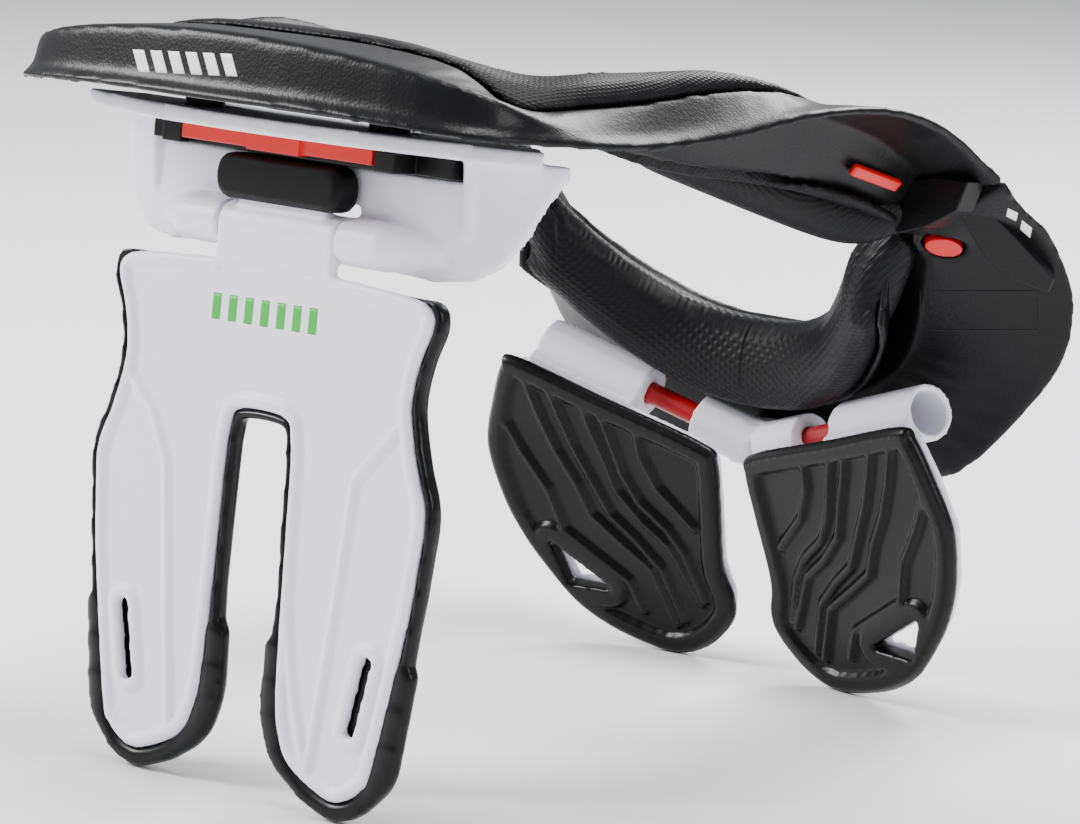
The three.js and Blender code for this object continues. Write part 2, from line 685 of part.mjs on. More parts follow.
// Foam collar of the front half: it wraps from the seat over the crest down to the hem.
function collarSection(row) {
  const { seat, crest, hem } = row;
  const wall = hem[0] - COLLAR_NECK + CLEARANCE;
  const shellCrest = [
    Math.min(crest[0] - 2, wall - 1) + CLEARANCE,
    Math.min(crest[1], seat[1] + 1) - COLLAR_THICK + CLEARANCE,
  ];
  const neck = (share) => [lerp(crest[0], hem[0], share) + COLLAR_BULGE, lerp(crest[1], hem[1], share)];
  const tuck = Math.max(wall - row.tuck, seat[0]);
  return [
    [seat[0], seat[1] + 2 * CLEARANCE],
    [lerp(seat[0], crest[0], 0.35), lerp(seat[1], crest[1], 0.6) + 1],
    [crest[0], crest[1]],
    neck(0.25), neck(0.65),
    [hem[0], hem[1]],
    [hem[0] - COLLAR_LIP, hem[1] - COLLAR_LIP],
    [tuck, hem[1] - COLLAR_LIP],
    [tuck, hem[1] - 2 * CLEARANCE],
    [wall, hem[1] - 2 * CLEARANCE],
    shellCrest,
  ].map(([along, height]) => row.place(along, height));
}

function frontCollar() {
  const longer = extended(frontTop, 5 * CLEARANCE);
  const normals = extended(frontNormals, 0);
  const clearance = sheet(
    offsetGrid(longer, normals, 1.5 * CLEARANCE),
    offsetGrid(longer, normals, -SHELL_WALL - 1.5 * CLEARANCE),
  );
  return mainBody(cut(loft(ringSections.map(collarSection)), clearance));
}

// Red size tabs on the outer side of the inner wall, near the seam.
function armTab() {
  const [station, tall, long, deep] = [Math.round((RING_ROWS.length - 2.1) * SPANS), 7, 20, 3];
  const middle = (ringSections.length - 1) / 2 + station;
  const [high, low] = [frontUnder[middle][4], frontUnder[middle][5]];
  const along = frontUnder[middle + 1][4].clone().sub(frontUnder[middle - 1][4]).normalize();
  const up = high.clone().sub(low).normalize();
  const away = along.clone().cross(up).normalize();
  if (away.x < 0) away.negate();
  const square = away.clone().cross(along);
  const frame = new THREE.Matrix4()
    .makeBasis(along, square, along.clone().cross(square))
    .setPosition(high.clone().lerp(low, 0.08));
  const gap = 3 * CLEARANCE;
  const solid = blockIn(frame, -long / 2, long / 2, -tall / 2, tall / 2, gap, gap + deep);
  return cut(solid, sheet(frontTop, offsetGrid(frontTop, frontNormals, -SHELL_WALL - CLEARANCE)));
}

// Lower table and what slides or turns on it

// Front face of the panel, which is nearly flat in its middle and curves back at its ends.
const panelFront = (x) => lerp(PANEL_MIDDLE, PANEL_END, (x / TABLE_HALF) ** 4);
const panelBack = (x) => panelFront(x) + TABLE_WALL;

// A wall across the table that follows its bow, given by rows of x, low and high z.
function bowedWall(rows, frontAt, backAt) {
  return loft(rows.map(({ x, low, high }) => [
    new THREE.Vector3(x, frontAt(x), low),
    new THREE.Vector3(x, backAt(x), low),
    new THREE.Vector3(x, backAt(x), high),
    new THREE.Vector3(x, frontAt(x), high),
  ]));
}

function acrossRows(half, low, high, count = 8) {
  return Array.from({ length: count + 1 }, (_, i) => ({ x: half * (2 * i / count - 1), low, high }));
}

function shelfPoints() {
  const count = 16;
  const frontEdge = Array.from({ length: count + 1 }, (_, i) => {
    const share = 2 * i / count - 1;
    return new THREE.Vector2(share * TABLE_HALF, lerp(-SHELF_FRONT, SHELF_CORNER, share ** 2));
  });
  const boxHalf = WINDOW_HALF + TABLE_WALL;
  const corner = 0.86 * TABLE_HALF;
  const backEdge = [[corner, SHELF_BACK], [boxHalf, SHELF_BACK], [boxHalf, WINDOW_BACK + TABLE_WALL]];
  return [
    ...frontEdge,
    ...backEdge.map(([x, y]) => new THREE.Vector2(x, y)),
    ...backEdge.map(([x, y]) => new THREE.Vector2(-x, y)).reverse(),
  ];
}

function shelf() {
  const geometry = new THREE.ExtrudeGeometry(
    new THREE.Shape(shelfPoints()), { depth: SHELF_THICK, bevelEnabled: false, steps: 1 });
  geometry.translate(0, 0, TABLE_BOTTOM);
  return asSolid(geometry);
}

// Room in the shelf for a stem and its travel.
const stemSlot = () => block(
  STEM_SPREAD - STEM_WIDE / 2 - CLEARANCE, STEM_SPREAD + STEM_WIDE / 2 + CLEARANCE,
  STEM_FRONT - SLIDE_TRAVEL - 1, STEM_FRONT + STEM_DEEP + SLIDE_TRAVEL + 1,
  TABLE_BOTTOM - 1, SHELF_TOP + 1,
);

// Barrel of the chest hinge with the cone that blends it into the table's panel.
function tableBarrel() {
  const ring = (x, y, radius) => Array.from({ length: ROUND }, (_, i) => {
    const turn = 2 * Math.PI * i / ROUND;
    return new THREE.Vector3(x, y + radius * Math.cos(turn), radius * Math.sin(turn) - HINGE_DROP);
  });
  return loft([
    ring(NECK_HALF + CLEARANCE, HINGE_BACK, BARREL_RADIUS),
    ring(BARREL_END, HINGE_BACK, BARREL_RADIUS),
    ring(CONE_END, panelFront(CONE_END) + CONE_TIP / 2, CONE_TIP),
  ]);
}

// Upright rib beside the window, from the box behind it to the front of the panel.
function windowRib() {
  const near = panelFront(WINDOW_HALF);
  const profile = [
    [near - RIB_PROUD, TABLE_BOTTOM + 1], [near - 1, RIB_FOOT], [near + 1, RIB_FOOT],
    [WINDOW_BACK + TABLE_WALL, WINDOW_FLOOR], [WINDOW_BACK + TABLE_WALL, TABLE_BOTTOM + 1],
  ];
  return loft([WINDOW_HALF, WINDOW_HALF + TABLE_WALL].map((x) => (
    profile.map(([y, z]) => new THREE.Vector3(x, y, z))
  )));
}

function lowerTable() {
  const half = TABLE_ROWS.map(({ along, bottom }) => ({
    x: along * TABLE_HALF, low: bottom * TABLE_BOTTOM, high: TABLE_BOTTOM + 1,
  }));
  const panel = bowedWall(mirrored(half, ['x']), panelFront, panelBack);
  const boxHalf = WINDOW_HALF + TABLE_WALL;
  const floorTop = WINDOW_FLOOR + TABLE_WALL;
  const boxBack = WINDOW_BACK + TABLE_WALL;
  const floor = bowedWall(acrossRows(boxHalf, WINDOW_FLOOR, floorTop), panelFront, () => boxBack);
  const back = block(-boxHalf, boxHalf, WINDOW_BACK, boxBack, WINDOW_FLOOR, TABLE_BOTTOM + 1);
  const window = block(-WINDOW_HALF, WINDOW_HALF, 0, WINDOW_BACK - 1, floorTop, TABLE_BOTTOM);
  const neckHalf = NECK_HALF + CLEARANCE;
  const neckRoom = joined(
    barX(BARREL_RADIUS + 2 * CLEARANCE, -neckHalf, neckHalf, HINGE_BACK, -HINGE_DROP),
    block(-neckHalf, neckHalf, -20, 20, -3 * HINGE_DROP, -HINGE_DROP),
  );
  const bore = barX(HINGE_PIN_RADIUS + CLEARANCE, -BARREL_END, BARREL_END, HINGE_BACK, -HINGE_DROP);
  const body = joined(cut(panel, window), floor, back, ...pair(windowRib()), ...pair(tableBarrel()));
  return cut(joined(shelf(), cut(body, neckRoom, bore)), ...pair(stemSlot()));
}

const railTop = TABLE_BOTTOM - 2 * CLEARANCE;

// Rail that the front table's stems carry, with a pocket in its front for the lock bar.
function slideRail() {
  const railFoot = railTop - RAIL_TALL;
  const body = block(-RAIL_HALF, RAIL_HALF, RAIL_FRONT, RAIL_FRONT + RAIL_DEEP, railFoot, railTop);
  const stops = pair(block(
    LOCK_BAR_HALF + 2 * CLEARANCE, RAIL_STEP,
    RAIL_FRONT - LOCK_BAR_DEEP, RAIL_FRONT + 1,
    railFoot, railTop,
  ));
  const setBack = pair(block(
    RAIL_STEP, RAIL_HALF + 1,
    RAIL_FRONT - 1, panelFront(RAIL_STEP) - SLIDE_TRAVEL,
    railFoot - 1, railTop + 1,
  ));
  return joined(cut(body, ...setBack), ...stops);
}

function lockBar() {
  const back = RAIL_FRONT - CLEARANCE;
  const bar = block(
    -LOCK_BAR_HALF, LOCK_BAR_HALF, back - LOCK_BAR_DEEP, back, railTop - LOCK_BAR_TALL, railTop);
  const grip = block(
    -LOCK_GRIP_HALF, LOCK_GRIP_HALF,
    back - LOCK_BAR_DEEP - LOCK_GRIP_PROUD, back - 1,
    railTop - LOCK_BAR_TALL - LOCK_GRIP_PROUD / 2, railTop,
  );
  return joined(bar, grip);
}

// Chest strut and what turns with it

const strutOutline = (() => {
  const half = STRUT_ROWS.map(({ along, down }) => (
    new THREE.Vector2(along * STRUT_HALF, -down * STRUT_LENGTH)
  ));
  const other = half.map(({ x, y }) => new THREE.Vector2(-x, y)).reverse();
  return [...half, ...other].reverse();
})();

function strutSlot(side, grow = 0) {
  const lean = side * radians(SLOT_LEAN);
  const middle = new THREE.Vector2(side * SLOT_ALONG * STRUT_HALF, -SLOT_DOWN * STRUT_LENGTH);
  const [half, long] = [SLOT_WIDE / 2 + grow, SLOT_LONG / 2 + grow];
  const corners = [[-half, -long], [-half, long], [half, long], [half, -long]];
  const origin = new THREE.Vector2();
  return corners.map(([x, y]) => new THREE.Vector2(x, y).rotateAround(origin, -lean).add(middle));
}

const strutSlots = (grow) => [-1, 1].map((side) => strutSlot(side, grow));
const wedgeBase = CLEARANCE;
const wedgeBack = PANEL_MIDDLE - 2 * CLEARANCE;
const wedgeTabFront = wedgeBack - WEDGE_DEEP / 2 - WEDGE_TAB_THICK / 2;

function chestStrut() {
  const plate = cut(
    plateXZ(strutOutline, 0, STRUT_THICK, STRUT_BEVEL), ...holesXZ(strutSlots(0), -1, STRUT_THICK + 1));
  const neckTop = -STRUT_ROWS[0].down * STRUT_LENGTH - STRUT_THICK;
  const radius = BARREL_RADIUS - CLEARANCE;
  const barrel = barX(radius, -NECK_HALF, NECK_HALF, HINGE_BACK, -HINGE_DROP);
  const neck = block(-NECK_HALF, NECK_HALF, 0, STRUT_THICK, neckTop, -HINGE_DROP);
  const tab = block(
    -WEDGE_TAB_HALF, WEDGE_TAB_HALF,
    wedgeTabFront, wedgeTabFront + WEDGE_TAB_THICK,
    -HINGE_DROP, WEDGE_TAB_TALL,
  );
  const bore = barX(HINGE_PIN_RADIUS + CLEARANCE, -NECK_HALF, NECK_HALF, HINGE_BACK, -HINGE_DROP);
  return cut(joined(plate, barrel, neck, tab), bore);
}

// The pad holds the strut in a recess: its rim shows around the strut, and its back is
// bevelled all round.
function chestPad() {
  const outline = widened(strutOutline, (point) => {
    const boot = THREE.MathUtils.smoothstep(-point.y / STRUT_LENGTH, BOOT_START - 0.06, BOOT_START);
    return PAD_RIM + BOOT_RIM * boot;
  });
  const wide = 2 * STRUT_HALF;
  const back = PAD_FRONT + PAD_THICK;
  const rim = plateXZ(outline, PAD_FRONT, PAD_RIM_THICK);
  const body = plateXZ(outline, back - 2.2 * PAD_CHAMFER, 2.2 * PAD_CHAMFER, PAD_CHAMFER);
  const ahead = block(-wide, wide, -wide, PAD_FRONT + PAD_RIM_THICK / 2, -2 * STRUT_LENGTH, 0);
  const recess = plateXZ(widened(strutOutline, () => CLEARANCE), -1, STRUT_THICK + CLEARANCE + 1);
  const above = block(-wide, wide, 0, 2 * back, -PAD_TOP_CUT, 0);
  const slots = holesXZ(strutSlots(CLEARANCE), 0, 2 * back);
  return cut(joined(rim, cut(body, ahead)), recess, above, ...slots);
}

function angleWedge() {
  const outline = [[-1, -1], [1, -1], [1, 1], [-1, 1]].flatMap(([alongX, alongZ]) => {
    const middle = new THREE.Vector2(
      alongX * (WEDGE_HALF - WEDGE_ROUND),
      wedgeBase + WEDGE_TALL / 2 + alongZ * (WEDGE_TALL / 2 - WEDGE_ROUND),
    );
    const start = Math.atan2(alongZ, alongX) - Math.PI / 4;
    return [0, 1, 2, 3].map((i) => {
      const turn = start + i * Math.PI / 6;
      const out = new THREE.Vector2(Math.cos(turn), Math.sin(turn));
      return middle.clone().addScaledVector(out, WEDGE_ROUND);
    });
  });
  const body = plateXZ(outline, wedgeBack - WEDGE_DEEP, WEDGE_DEEP, 2);
  const slot = block(
    -WEDGE_TAB_HALF - CLEARANCE, WEDGE_TAB_HALF + CLEARANCE,
    wedgeTabFront - CLEARANCE, wedgeTabFront + WEDGE_TAB_THICK + CLEARANCE,
    wedgeBase - 1, WEDGE_TAB_TALL + CLEARANCE,
  );
  return cut(body, slot);
}

// Rear half

function rearPadPath(row) {
  const turn = radians(row.turn);
  return {
    middle: new THREE.Vector3(row.x * RING_HALF, SEAM_Y + SEAM_GAP + row.y * REAR_REACH, -row.z * REAR_DROP),
    out: new THREE.Vector3(Math.cos(turn), Math.sin(turn), 0),
  };
}

const rearPadPaths = sampled(mirrored(REAR_PAD_ROWS, ['x', 'turn']).map((row, i, all) => (
  i < (all.length - 1) / 2 ? { ...row, turn: 180 + row.turn } : row
)), SPANS).map(rearPadPath);

function rearCollar() {
  return loft(rearPadPaths.map(({ middle, out }) => REAR_PAD_SECTION.map((point) => {
    const depth = point.out > 0 ? REAR_PAD_BACK : REAR_PAD_FRONT;
    return middle.clone()
      .addScaledVector(out, point.out * depth)
      .add(new THREE.Vector3(0, 0, -point.down * REAR_PAD_TALL));
  })));
}

// Wall of the rear shell that backs the collar pad.
function neckWall() {
  const side = (distance) => rearPadPaths.map(({ middle, out }) => [0.04, 0.96].map((share) => (
    middle.clone()
      .addScaledVector(out, REAR_PAD_BACK + distance)
      .add(new THREE.Vector3(0, 0, -share * REAR_PAD_TALL))
  )));
  return sheet(side(CLEARANCE), side(CLEARANCE + SHELL_WALL));
}

// An oval bar along the z of a frame, from one level to another.
function oval(matrix, grow, low, high) {
  const geometry = new THREE.CylinderGeometry(1, 1, high - low, 18);
  geometry.rotateX(Math.PI / 2);
  geometry.scale(BUTTON_LONG / 2 + grow, BUTTON_WIDE / 2 + grow, 1);
  geometry.rotateZ(radians(BUTTON_TURN));
  geometry.translate(0, 0, (low + high) / 2);
  return moved(asSolid(geometry), matrix);
}

const pocketDeep = BUTTON_DEEP - BUTTON_PROUD + BUTTON_STROKE + BUTTON_CLEAR;
const housing = oval(buttonFrame, BUTTON_CLEAR + HOUSING_WALL, SHELL_WALL / 2, pocketDeep + HOUSING_WALL);
const pocket = oval(buttonFrame, BUTTON_CLEAR, -2 * SHELL_WALL, pocketDeep);

function rearShell() {
  const beforeSeam = block(-2 * RING_HALF, 2 * RING_HALF, 0, SEAM_Y + SEAM_GAP, -REAR_DROP, 2 * RING_RISE);
  const shell = joined(sheet(rearFront, rearBack), neckWall(), ...pair(rearShoulder()), ...pair(housing));
  const open = cut(
    shell, rearCollar(), beforeSeam, ...pair(pocket), latchBar(-TONGUE_LONG, TONGUE_CLEAR),
    ...frontKnuckles.map((levels) => clearanceAround(...levels)),
  );
  return cut(joined(open, rearHinge()), pinBore);
}

const buttonSolid = oval(buttonFrame, 0, -BUTTON_PROUD, BUTTON_DEEP - BUTTON_PROUD);

// Back wings, drawn on the wearer's left in the frame of their own hinge: x runs outward
// along the pin, y to the rear and z up along the wing.

const wingFrame = new THREE.Matrix4()
  .makeTranslation(0, SEAM_Y + WING_AXIS_REACH, -WING_AXIS_DROP)
  .multiply(new THREE.Matrix4().makeRotationZ(-radians(WING_SWEEP)))
  .multiply(new THREE.Matrix4().makeRotationY(-radians(WING_RISE)))
  .multiply(new THREE.Matrix4().makeRotationX(radians(WING_RAKE)));

const plateLean = new THREE.Matrix4()
  .makeTranslation(0, -WING_FACE, 0)
  .multiply(new THREE.Matrix4().makeRotationX(radians(WING_LEAN)));

const wingPoints = (rows) => rows.map(({ along, down }) => (
  new THREE.Vector2(along * WING_LENGTH, -down * WING_DROP)
));
const wingOutline = wingPoints(WING_ROWS).reverse();

function wingPlate() {
  const barrel = barX(WING_BARREL_RADIUS, WING_BARREL_START, WING_BARREL_END, 0, 0);
  const plate = moved(cut(
    plateXZ(widened(wingOutline, () => -WING_PAD_RIM), 0, WING_THICK, WING_BEVEL),
    ...holesXZ([wingPoints(WING_SLOT)], -1, WING_THICK + 1),
  ), plateLean);
  const web = block(
    WING_BARREL_START, WING_BARREL_END,
    1 - WING_FACE, 0,
    -0.8 * WING_BARREL_RADIUS, 1,
  );
  const inside = barX(WING_BORE, WING_SOCKET_END, WING_BARREL_END + 1, 0, 0);
  const pinRoom = barX(WING_PIN_RADIUS + CLEARANCE, WING_BARREL_START - 1, WING_SOCKET_END + 1, 0, 0);
  const lugRoom = barX(WING_BARREL_RADIUS + 2 * CLEARANCE, 0, MOUNT_LUG_END + 2 * CLEARANCE, 0, 0);
  return cut(joined(barrel, web, plate), inside, pinRoom, lugRoom);
}

function wingPad() {
  const slot = widened(wingPoints(WING_SLOT).reverse(), () => 0.8);
  const front = -WING_PAD_THICK - CLEARANCE;
  return moved(cut(
    plateXZ(wingOutline, front, WING_PAD_THICK, 3 * WING_BEVEL),
    ...holesXZ([slot], front - 1, 0),
  ), plateLean);
}

const wingPin = () => barX(WING_PIN_RADIUS, WING_PIN_START, WING_SOCKET_END - 1, 0, 0);

// Mount on the rear shell with one lug for the pin of each wing.
function wingMount() {
  const lugs = pair(moved(barX(MOUNT_LUG_RADIUS, 3, MOUNT_LUG_END, 0, 0), wingFrame));
  const bores = pair(moved(
    barX(WING_PIN_RADIUS + CLEARANCE, WING_PIN_START - CLEARANCE, MOUNT_LUG_END + 1, 0, 0), wingFrame));
  const axisY = SEAM_Y + WING_AXIS_REACH;
  const [knee, rim] = [rearLine(REAR_ROWS[0])[1], rearLine(REAR_ROWS[0])[3]];
  const backAt = (z) => lerp(knee.y, rim.y, (z - knee.z) / (rim.z - knee.z)) + 1;
  const [high, low] = [-WING_AXIS_DROP + WING_BARREL_RADIUS, rim.z + 1];
  const core = loft([-MOUNT_HALF, 0, MOUNT_HALF].map((x) => [
    new THREE.Vector3(x, axisY - 4, low),
    new THREE.Vector3(x, backAt(low), low),
    new THREE.Vector3(x, backAt(high), high),
    new THREE.Vector3(x, axisY - 4, high),
  ]));
  const clearOfShell = sheet(
    offsetGrid(rearFront, rearNormals, -CLEARANCE), offsetGrid(rearFront, rearNormals, 4 * SHELL_WALL));
  return cut(joined(core, ...lugs), ...bores, clearOfShell);
}

// Assembly

function piece(name, solid, material) {
  const mesh = new THREE.Mesh(asGeometry(solid), material());
  mesh.name = name;
  return mesh;
}

function groupOf(...members) {
  const group = new THREE.Group();
  group.add(...members);
  return group;
}

function wing(side) {
  const flip = side === 'left' ? new THREE.Matrix4() : mirrorX;
  const group = groupOf(
    piece(`wing_frame_${side}`, moved(wingPlate(), flip), whitePlastic),
    piece(`wing_pad_${side}`, moved(wingPad(), flip), blackFoam),
    piece(`wing_pin_${side}`, moved(wingPin(), flip), redPlastic),
  );
  const frame = flip.clone().multiply(wingFrame).multiply(flip);
  frame.decompose(group.position, group.quaternion, group.scale);
  return group;
}

const [tabLeft, tabRight] = pair(armTab());
const [buttonLeft, buttonRight] = pair(buttonSolid);
const pinX = BARREL_END - 1;

const frontHalf = groupOf(
  piece('front_table', frontTable(), blackShell),
  piece('front_collar', frontCollar(), blackFoam),
  piece('slide_rail', slideRail(), blackShell),
  piece('lock_bar', lockBar(), redPlastic),
  piece('size_tab_left', tabLeft, redPlastic),
  piece('size_tab_right', tabRight, redPlastic),
  piece('side_pin', sideBar(SIDE_PIN_RADIUS, -pinEnd, pinEnd), steel),
  piece('lower_table', lowerTable(), whitePlastic),
  piece('chest_pin', barX(HINGE_PIN_RADIUS, -pinX, pinX, HINGE_BACK, -HINGE_DROP), steel),
);

const chest = groupOf(
  piece('chest_strut', chestStrut(), whitePlastic),
  piece('chest_pad', chestPad(), blackFoam),
  piece('angle_wedge', angleWedge(), blackRubber),
);

const rearHalf = groupOf(
  piece('rear_shell', rearShell(), blackShell),
  piece('rear_collar', rearCollar(), blackFoam),
  piece('release_button_left', buttonLeft, redPlastic),
  piece('release_button_right', buttonRight, redPlastic),
  piece('wing_mount', wingMount(), whitePlastic),
);

const wings = [wing('left'), wing('right')];

// Lowest height of a group once the brace is tipped back by an angle.
function lowest(group, angle) {
  const tip = new THREE.Matrix4().makeRotationX(-angle);
  let low = Infinity;
  group.updateMatrixWorld(true);
  group.traverse((node) => {
    if (!node.isMesh) return;
    const positions = node.geometry.attributes.position;
    for (let i = 0; i < positions.count; i += 1) {
      const point = new THREE.Vector3().fromBufferAttribute(positions, i);
      low = Math.min(low, point.applyMatrix4(node.matrixWorld).applyMatrix4(tip).z);
    }
  });
  return low;
}

// Angle at which the chest legs and the wings reach equally low.
function standingAngle() {
  let [less, more] = [0, radians(20)];
  for (let i = 0; i < 40; i += 1) {
    const middle = (less + more) / 2;
    const wingsHigher = lowest(groupOf(...wings.map((w) => w.clone())), middle) > lowest(chest, middle);
    [less, more] = wingsHigher ? [middle, more] : [less, middle];
  }
  return (less + more) / 2;
}

const standing = standingAngle();
const brace = groupOf(frontHalf, chest, rearHalf, ...wings);
brace.rotation.x = -standing;
brace.updateMatrixWorld(true);

const bounds = new THREE.Box3().setFromObject(brace, true);
const base = bounds.getCenter(new THREE.Vector3()).setZ(bounds.min.z);
brace.position.sub(base);

export default groupOf(brace);
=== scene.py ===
"""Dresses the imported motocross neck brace: moulded shells, foam pads, prints and the studio."""

import logging
import math
from dataclasses import dataclass, field
from enum import Enum
from functools import lru_cache
from typing import Callable, Iterable, Sequence

import bmesh
import bpy
from mathutils import Matrix, Vector
from mathutils.bvhtree import BVHTree
from mathutils.kdtree import KDTree


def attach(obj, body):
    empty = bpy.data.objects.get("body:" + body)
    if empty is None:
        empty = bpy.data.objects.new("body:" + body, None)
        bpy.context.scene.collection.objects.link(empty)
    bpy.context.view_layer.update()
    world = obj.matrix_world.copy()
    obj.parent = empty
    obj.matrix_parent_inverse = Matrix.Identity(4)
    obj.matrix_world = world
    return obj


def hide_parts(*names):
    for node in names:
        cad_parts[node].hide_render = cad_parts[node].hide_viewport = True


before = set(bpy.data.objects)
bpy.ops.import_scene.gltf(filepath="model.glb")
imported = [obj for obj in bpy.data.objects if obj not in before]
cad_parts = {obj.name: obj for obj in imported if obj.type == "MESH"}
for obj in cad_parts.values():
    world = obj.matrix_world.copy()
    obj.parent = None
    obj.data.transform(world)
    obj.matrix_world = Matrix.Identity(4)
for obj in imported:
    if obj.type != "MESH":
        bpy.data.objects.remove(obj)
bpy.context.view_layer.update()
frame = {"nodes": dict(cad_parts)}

LOG = logging.getLogger("neck_brace")
MM = 0.001

# The brace is drawn with its chest strut upright and stands tipped back by this angle.
TILT = math.radians(-5.530149)
STANDING = Matrix.Translation(Vector((0, -116.509, 191.236)) * MM) @ Matrix.Rotation(TILT, 4, "X")

# Frame of the left wing's hinge in the drawn brace, with x outward along its pin.
SEAM_Y = 208.0
WING_AXIS = Vector((0, SEAM_Y + 50, -84)) * MM
WING_SWEEP, WING_RISE, WING_RAKE, WING_LEAN = (math.radians(turn) for turn in (14, 16, 18, 4.5))
WING_FACE = 14.5 * MM
PAD_FACE = -6.8 * MM

# The faint clouds in each colour are about 22 mm across.
CLOUDS_PER_M = 45.0
# The wave texture repeats after this many radians of its own.
WAVE_FACTOR = 20
THREAD_SLANT = math.radians(48)

Pixel = tuple[float, float]
PlanePoint = tuple[float, float]


class Slot(Enum):
    """Material slots that a finish can belong to."""

    SHELL = "shell"
    FOAM = "foam"
    RUBBER = "rubber"
    WHITE = "white"
    RED = "red"
    STEEL = "steel"


def linear(colour: str) -> tuple[float, float, float, float]:
    """Turns an sRGB hex colour into linear RGBA.

    Args:
        colour: Six hex digits after a hash sign.

    Returns:
        The colour in linear light with full alpha.
    """
    parts = [int(colour[i:i + 2], 16) / 255 for i in (1, 3, 5)]
    turned = [p / 12.92 if p <= 0.04045 else ((p + 0.055) / 1.055) ** 2.4 for p in parts]
    return (*turned, 1.0)


def add_node(tree: bpy.types.NodeTree, kind: str, inputs: dict | None = None, **settings) -> bpy.types.Node:
    """Adds a node with its settings, input values and links.

    Args:
        tree: The node tree of the material.
        kind: Blender's name for the node type.
        inputs: Values or sockets to link, by the input's name or number.
        **settings: Attributes of the node.

    Returns:
        The new node.
    """
    made = tree.nodes.new(kind)
    for name, value in settings.items():
        setattr(made, name, value)
    for name, value in (inputs or {}).items():
        if isinstance(value, bpy.types.NodeSocket):
            tree.links.new(value, made.inputs[name])
        else:
            made.inputs[name].default_value = value
    return made


@dataclass(frozen=True)
class Finish:
    """A moulded surface: one colour with a faint mottle, a grain and a gloss.

    Attributes:
        name: What the real material is and how its surface was made.
        colour: sRGB hex colour.
        slot: The slot it belongs to; not used.
        roughness: Roughness of the surface.
        grain_mm: Size of the grain.
        grain_deep: Strength of the grain's bump.
        mottle: Share by which the colour varies.
        specular: Specular level.
    """

    name: str
    colour: str
    slot: Slot
    roughness: float
    grain_mm: float
    grain_deep: float
    mottle: float = 0.06
    specular: float = 0.5

    def relief(self, tree: bpy.types.NodeTree) -> bpy.types.NodeSocket:
        """Returns the height of the surface, here the pebbles of a spark-eroded mould."""
        place = add_node(tree, "ShaderNodeTexCoord").outputs["Object"]
        scale = 1 / (self.grain_mm * MM)
        pebbles = add_node(tree, "ShaderNodeTexVoronoi", {"Vector": place, "Scale": scale},
                           feature="SMOOTH_F1")
        dust = add_node(tree, "ShaderNodeTexNoise", {"Vector": place, "Scale": 0.6 * scale, "Detail": 3.0})
        both = add_node(tree, "ShaderNodeMath", {0: pebbles.outputs["Distance"], 1: dust.outputs["Fac"]},
                        operation="ADD")
        return both.outputs[0]

    def material(self) -> bpy.types.Material:
        """Builds the material, or returns the one that an earlier piece uses.

        Returns:
            The material of this finish.
        """
        if self.name in bpy.data.materials:
            return bpy.data.materials[self.name]
        made = bpy.data.materials.new(self.name)
        made.use_nodes = True
        tree = made.node_tree
        shader = tree.nodes["Principled BSDF"]
        shader.inputs["Specular IOR Level"].default_value = self.specular
        place = add_node(tree, "ShaderNodeTexCoord").outputs["Object"]
        cloud = add_node(tree, "ShaderNodeTexNoise", {"Vector": place, "Scale": CLOUDS_PER_M, "Detail": 4.0})
        base = linear(self.colour)
        low = [part * (1 - self.mottle) for part in base[:3]] + [1.0]
        high = [min(part * (1 + self.mottle), 1.0) for part in base[:3]] + [1.0]
        tint = add_node(tree, "ShaderNodeMix", {0: cloud.outputs["Fac"], 6: low, 7: high}, data_type="RGBA")
        tree.links.new(tint.outputs[2], shader.inputs["Base Color"])
        dull, matt = self.roughness - 0.05, self.roughness + 0.06
        gloss = add_node(tree, "ShaderNodeMapRange", {
            "Value": cloud.outputs["Fac"], "To Min": dull, "To Max": matt})
        tree.links.new(gloss.outputs[0], shader.inputs["Roughness"])
        bump = add_node(tree, "ShaderNodeBump", {
            "Strength": self.grain_deep, "Distance": 0.25 * self.grain_mm * MM, "Height": self.relief(tree)})
        tree.links.new(bump.outputs[0], shader.inputs["Normal"])
        return made


@dataclass(frozen=True)
class WovenFinish(Finish):
    """Foam skinned with a cover whose threads cross on the slant.

    Attributes:
        pitch_mm: Spacing of the crossing threads.
    """

    pitch_mm: float = 1.6

    def relief(self, tree: bpy.types.NodeTree) -> bpy.types.NodeSocket:
        """Returns the height of the threads, on the wrap attribute that follows the roll."""
        wrap = add_node(tree, "ShaderNodeAttribute", attribute_name="wrap").outputs["Vector"]
        waves = []
        per_metre = 2 * math.pi / (WAVE_FACTOR * self.pitch_mm * MM)
        for turn in (THREAD_SLANT, -THREAD_SLANT):
            turned = add_node(tree, "ShaderNodeMapping", {"Vector": wrap, "Rotation": (0, 0, turn)})
            wave = add_node(tree, "ShaderNodeTexWave", {"Vector": turned.outputs[0], "Scale": per_metre},
                            bands_direction="X")
            waves.append(wave.outputs["Fac"])
        crossed = add_node(tree, "ShaderNodeMath", {0: waves[0], 1: waves[1]}, operation="MULTIPLY")
        return crossed.outputs[0]


# Glass-filled nylon from a leather-grained mould: deep black with a broad grey sheen.
SHELL_NYLON = Finish("black nylon, leather grain mould", "#0b0b0d", Slot.SHELL, 0.36, 0.9, 0.3,
                     specular=0.2)
# The same nylon on small plain parts, smoother and a touch darker.
SLIDE_NYLON = Finish("black nylon, satin mould", "#090909", Slot.SHELL, 0.36, 0.4, 0.15, specular=0.25)
# Pressed foam with a woven skin: threads catch small lights all over the roll.
COLLAR_WEAVE = WovenFinish("pressed foam, diagonal weave skin", "#0e0e10", Slot.FOAM, 0.46, 0.7, 0.7,
                           specular=0.16, pitch_mm=1.5)
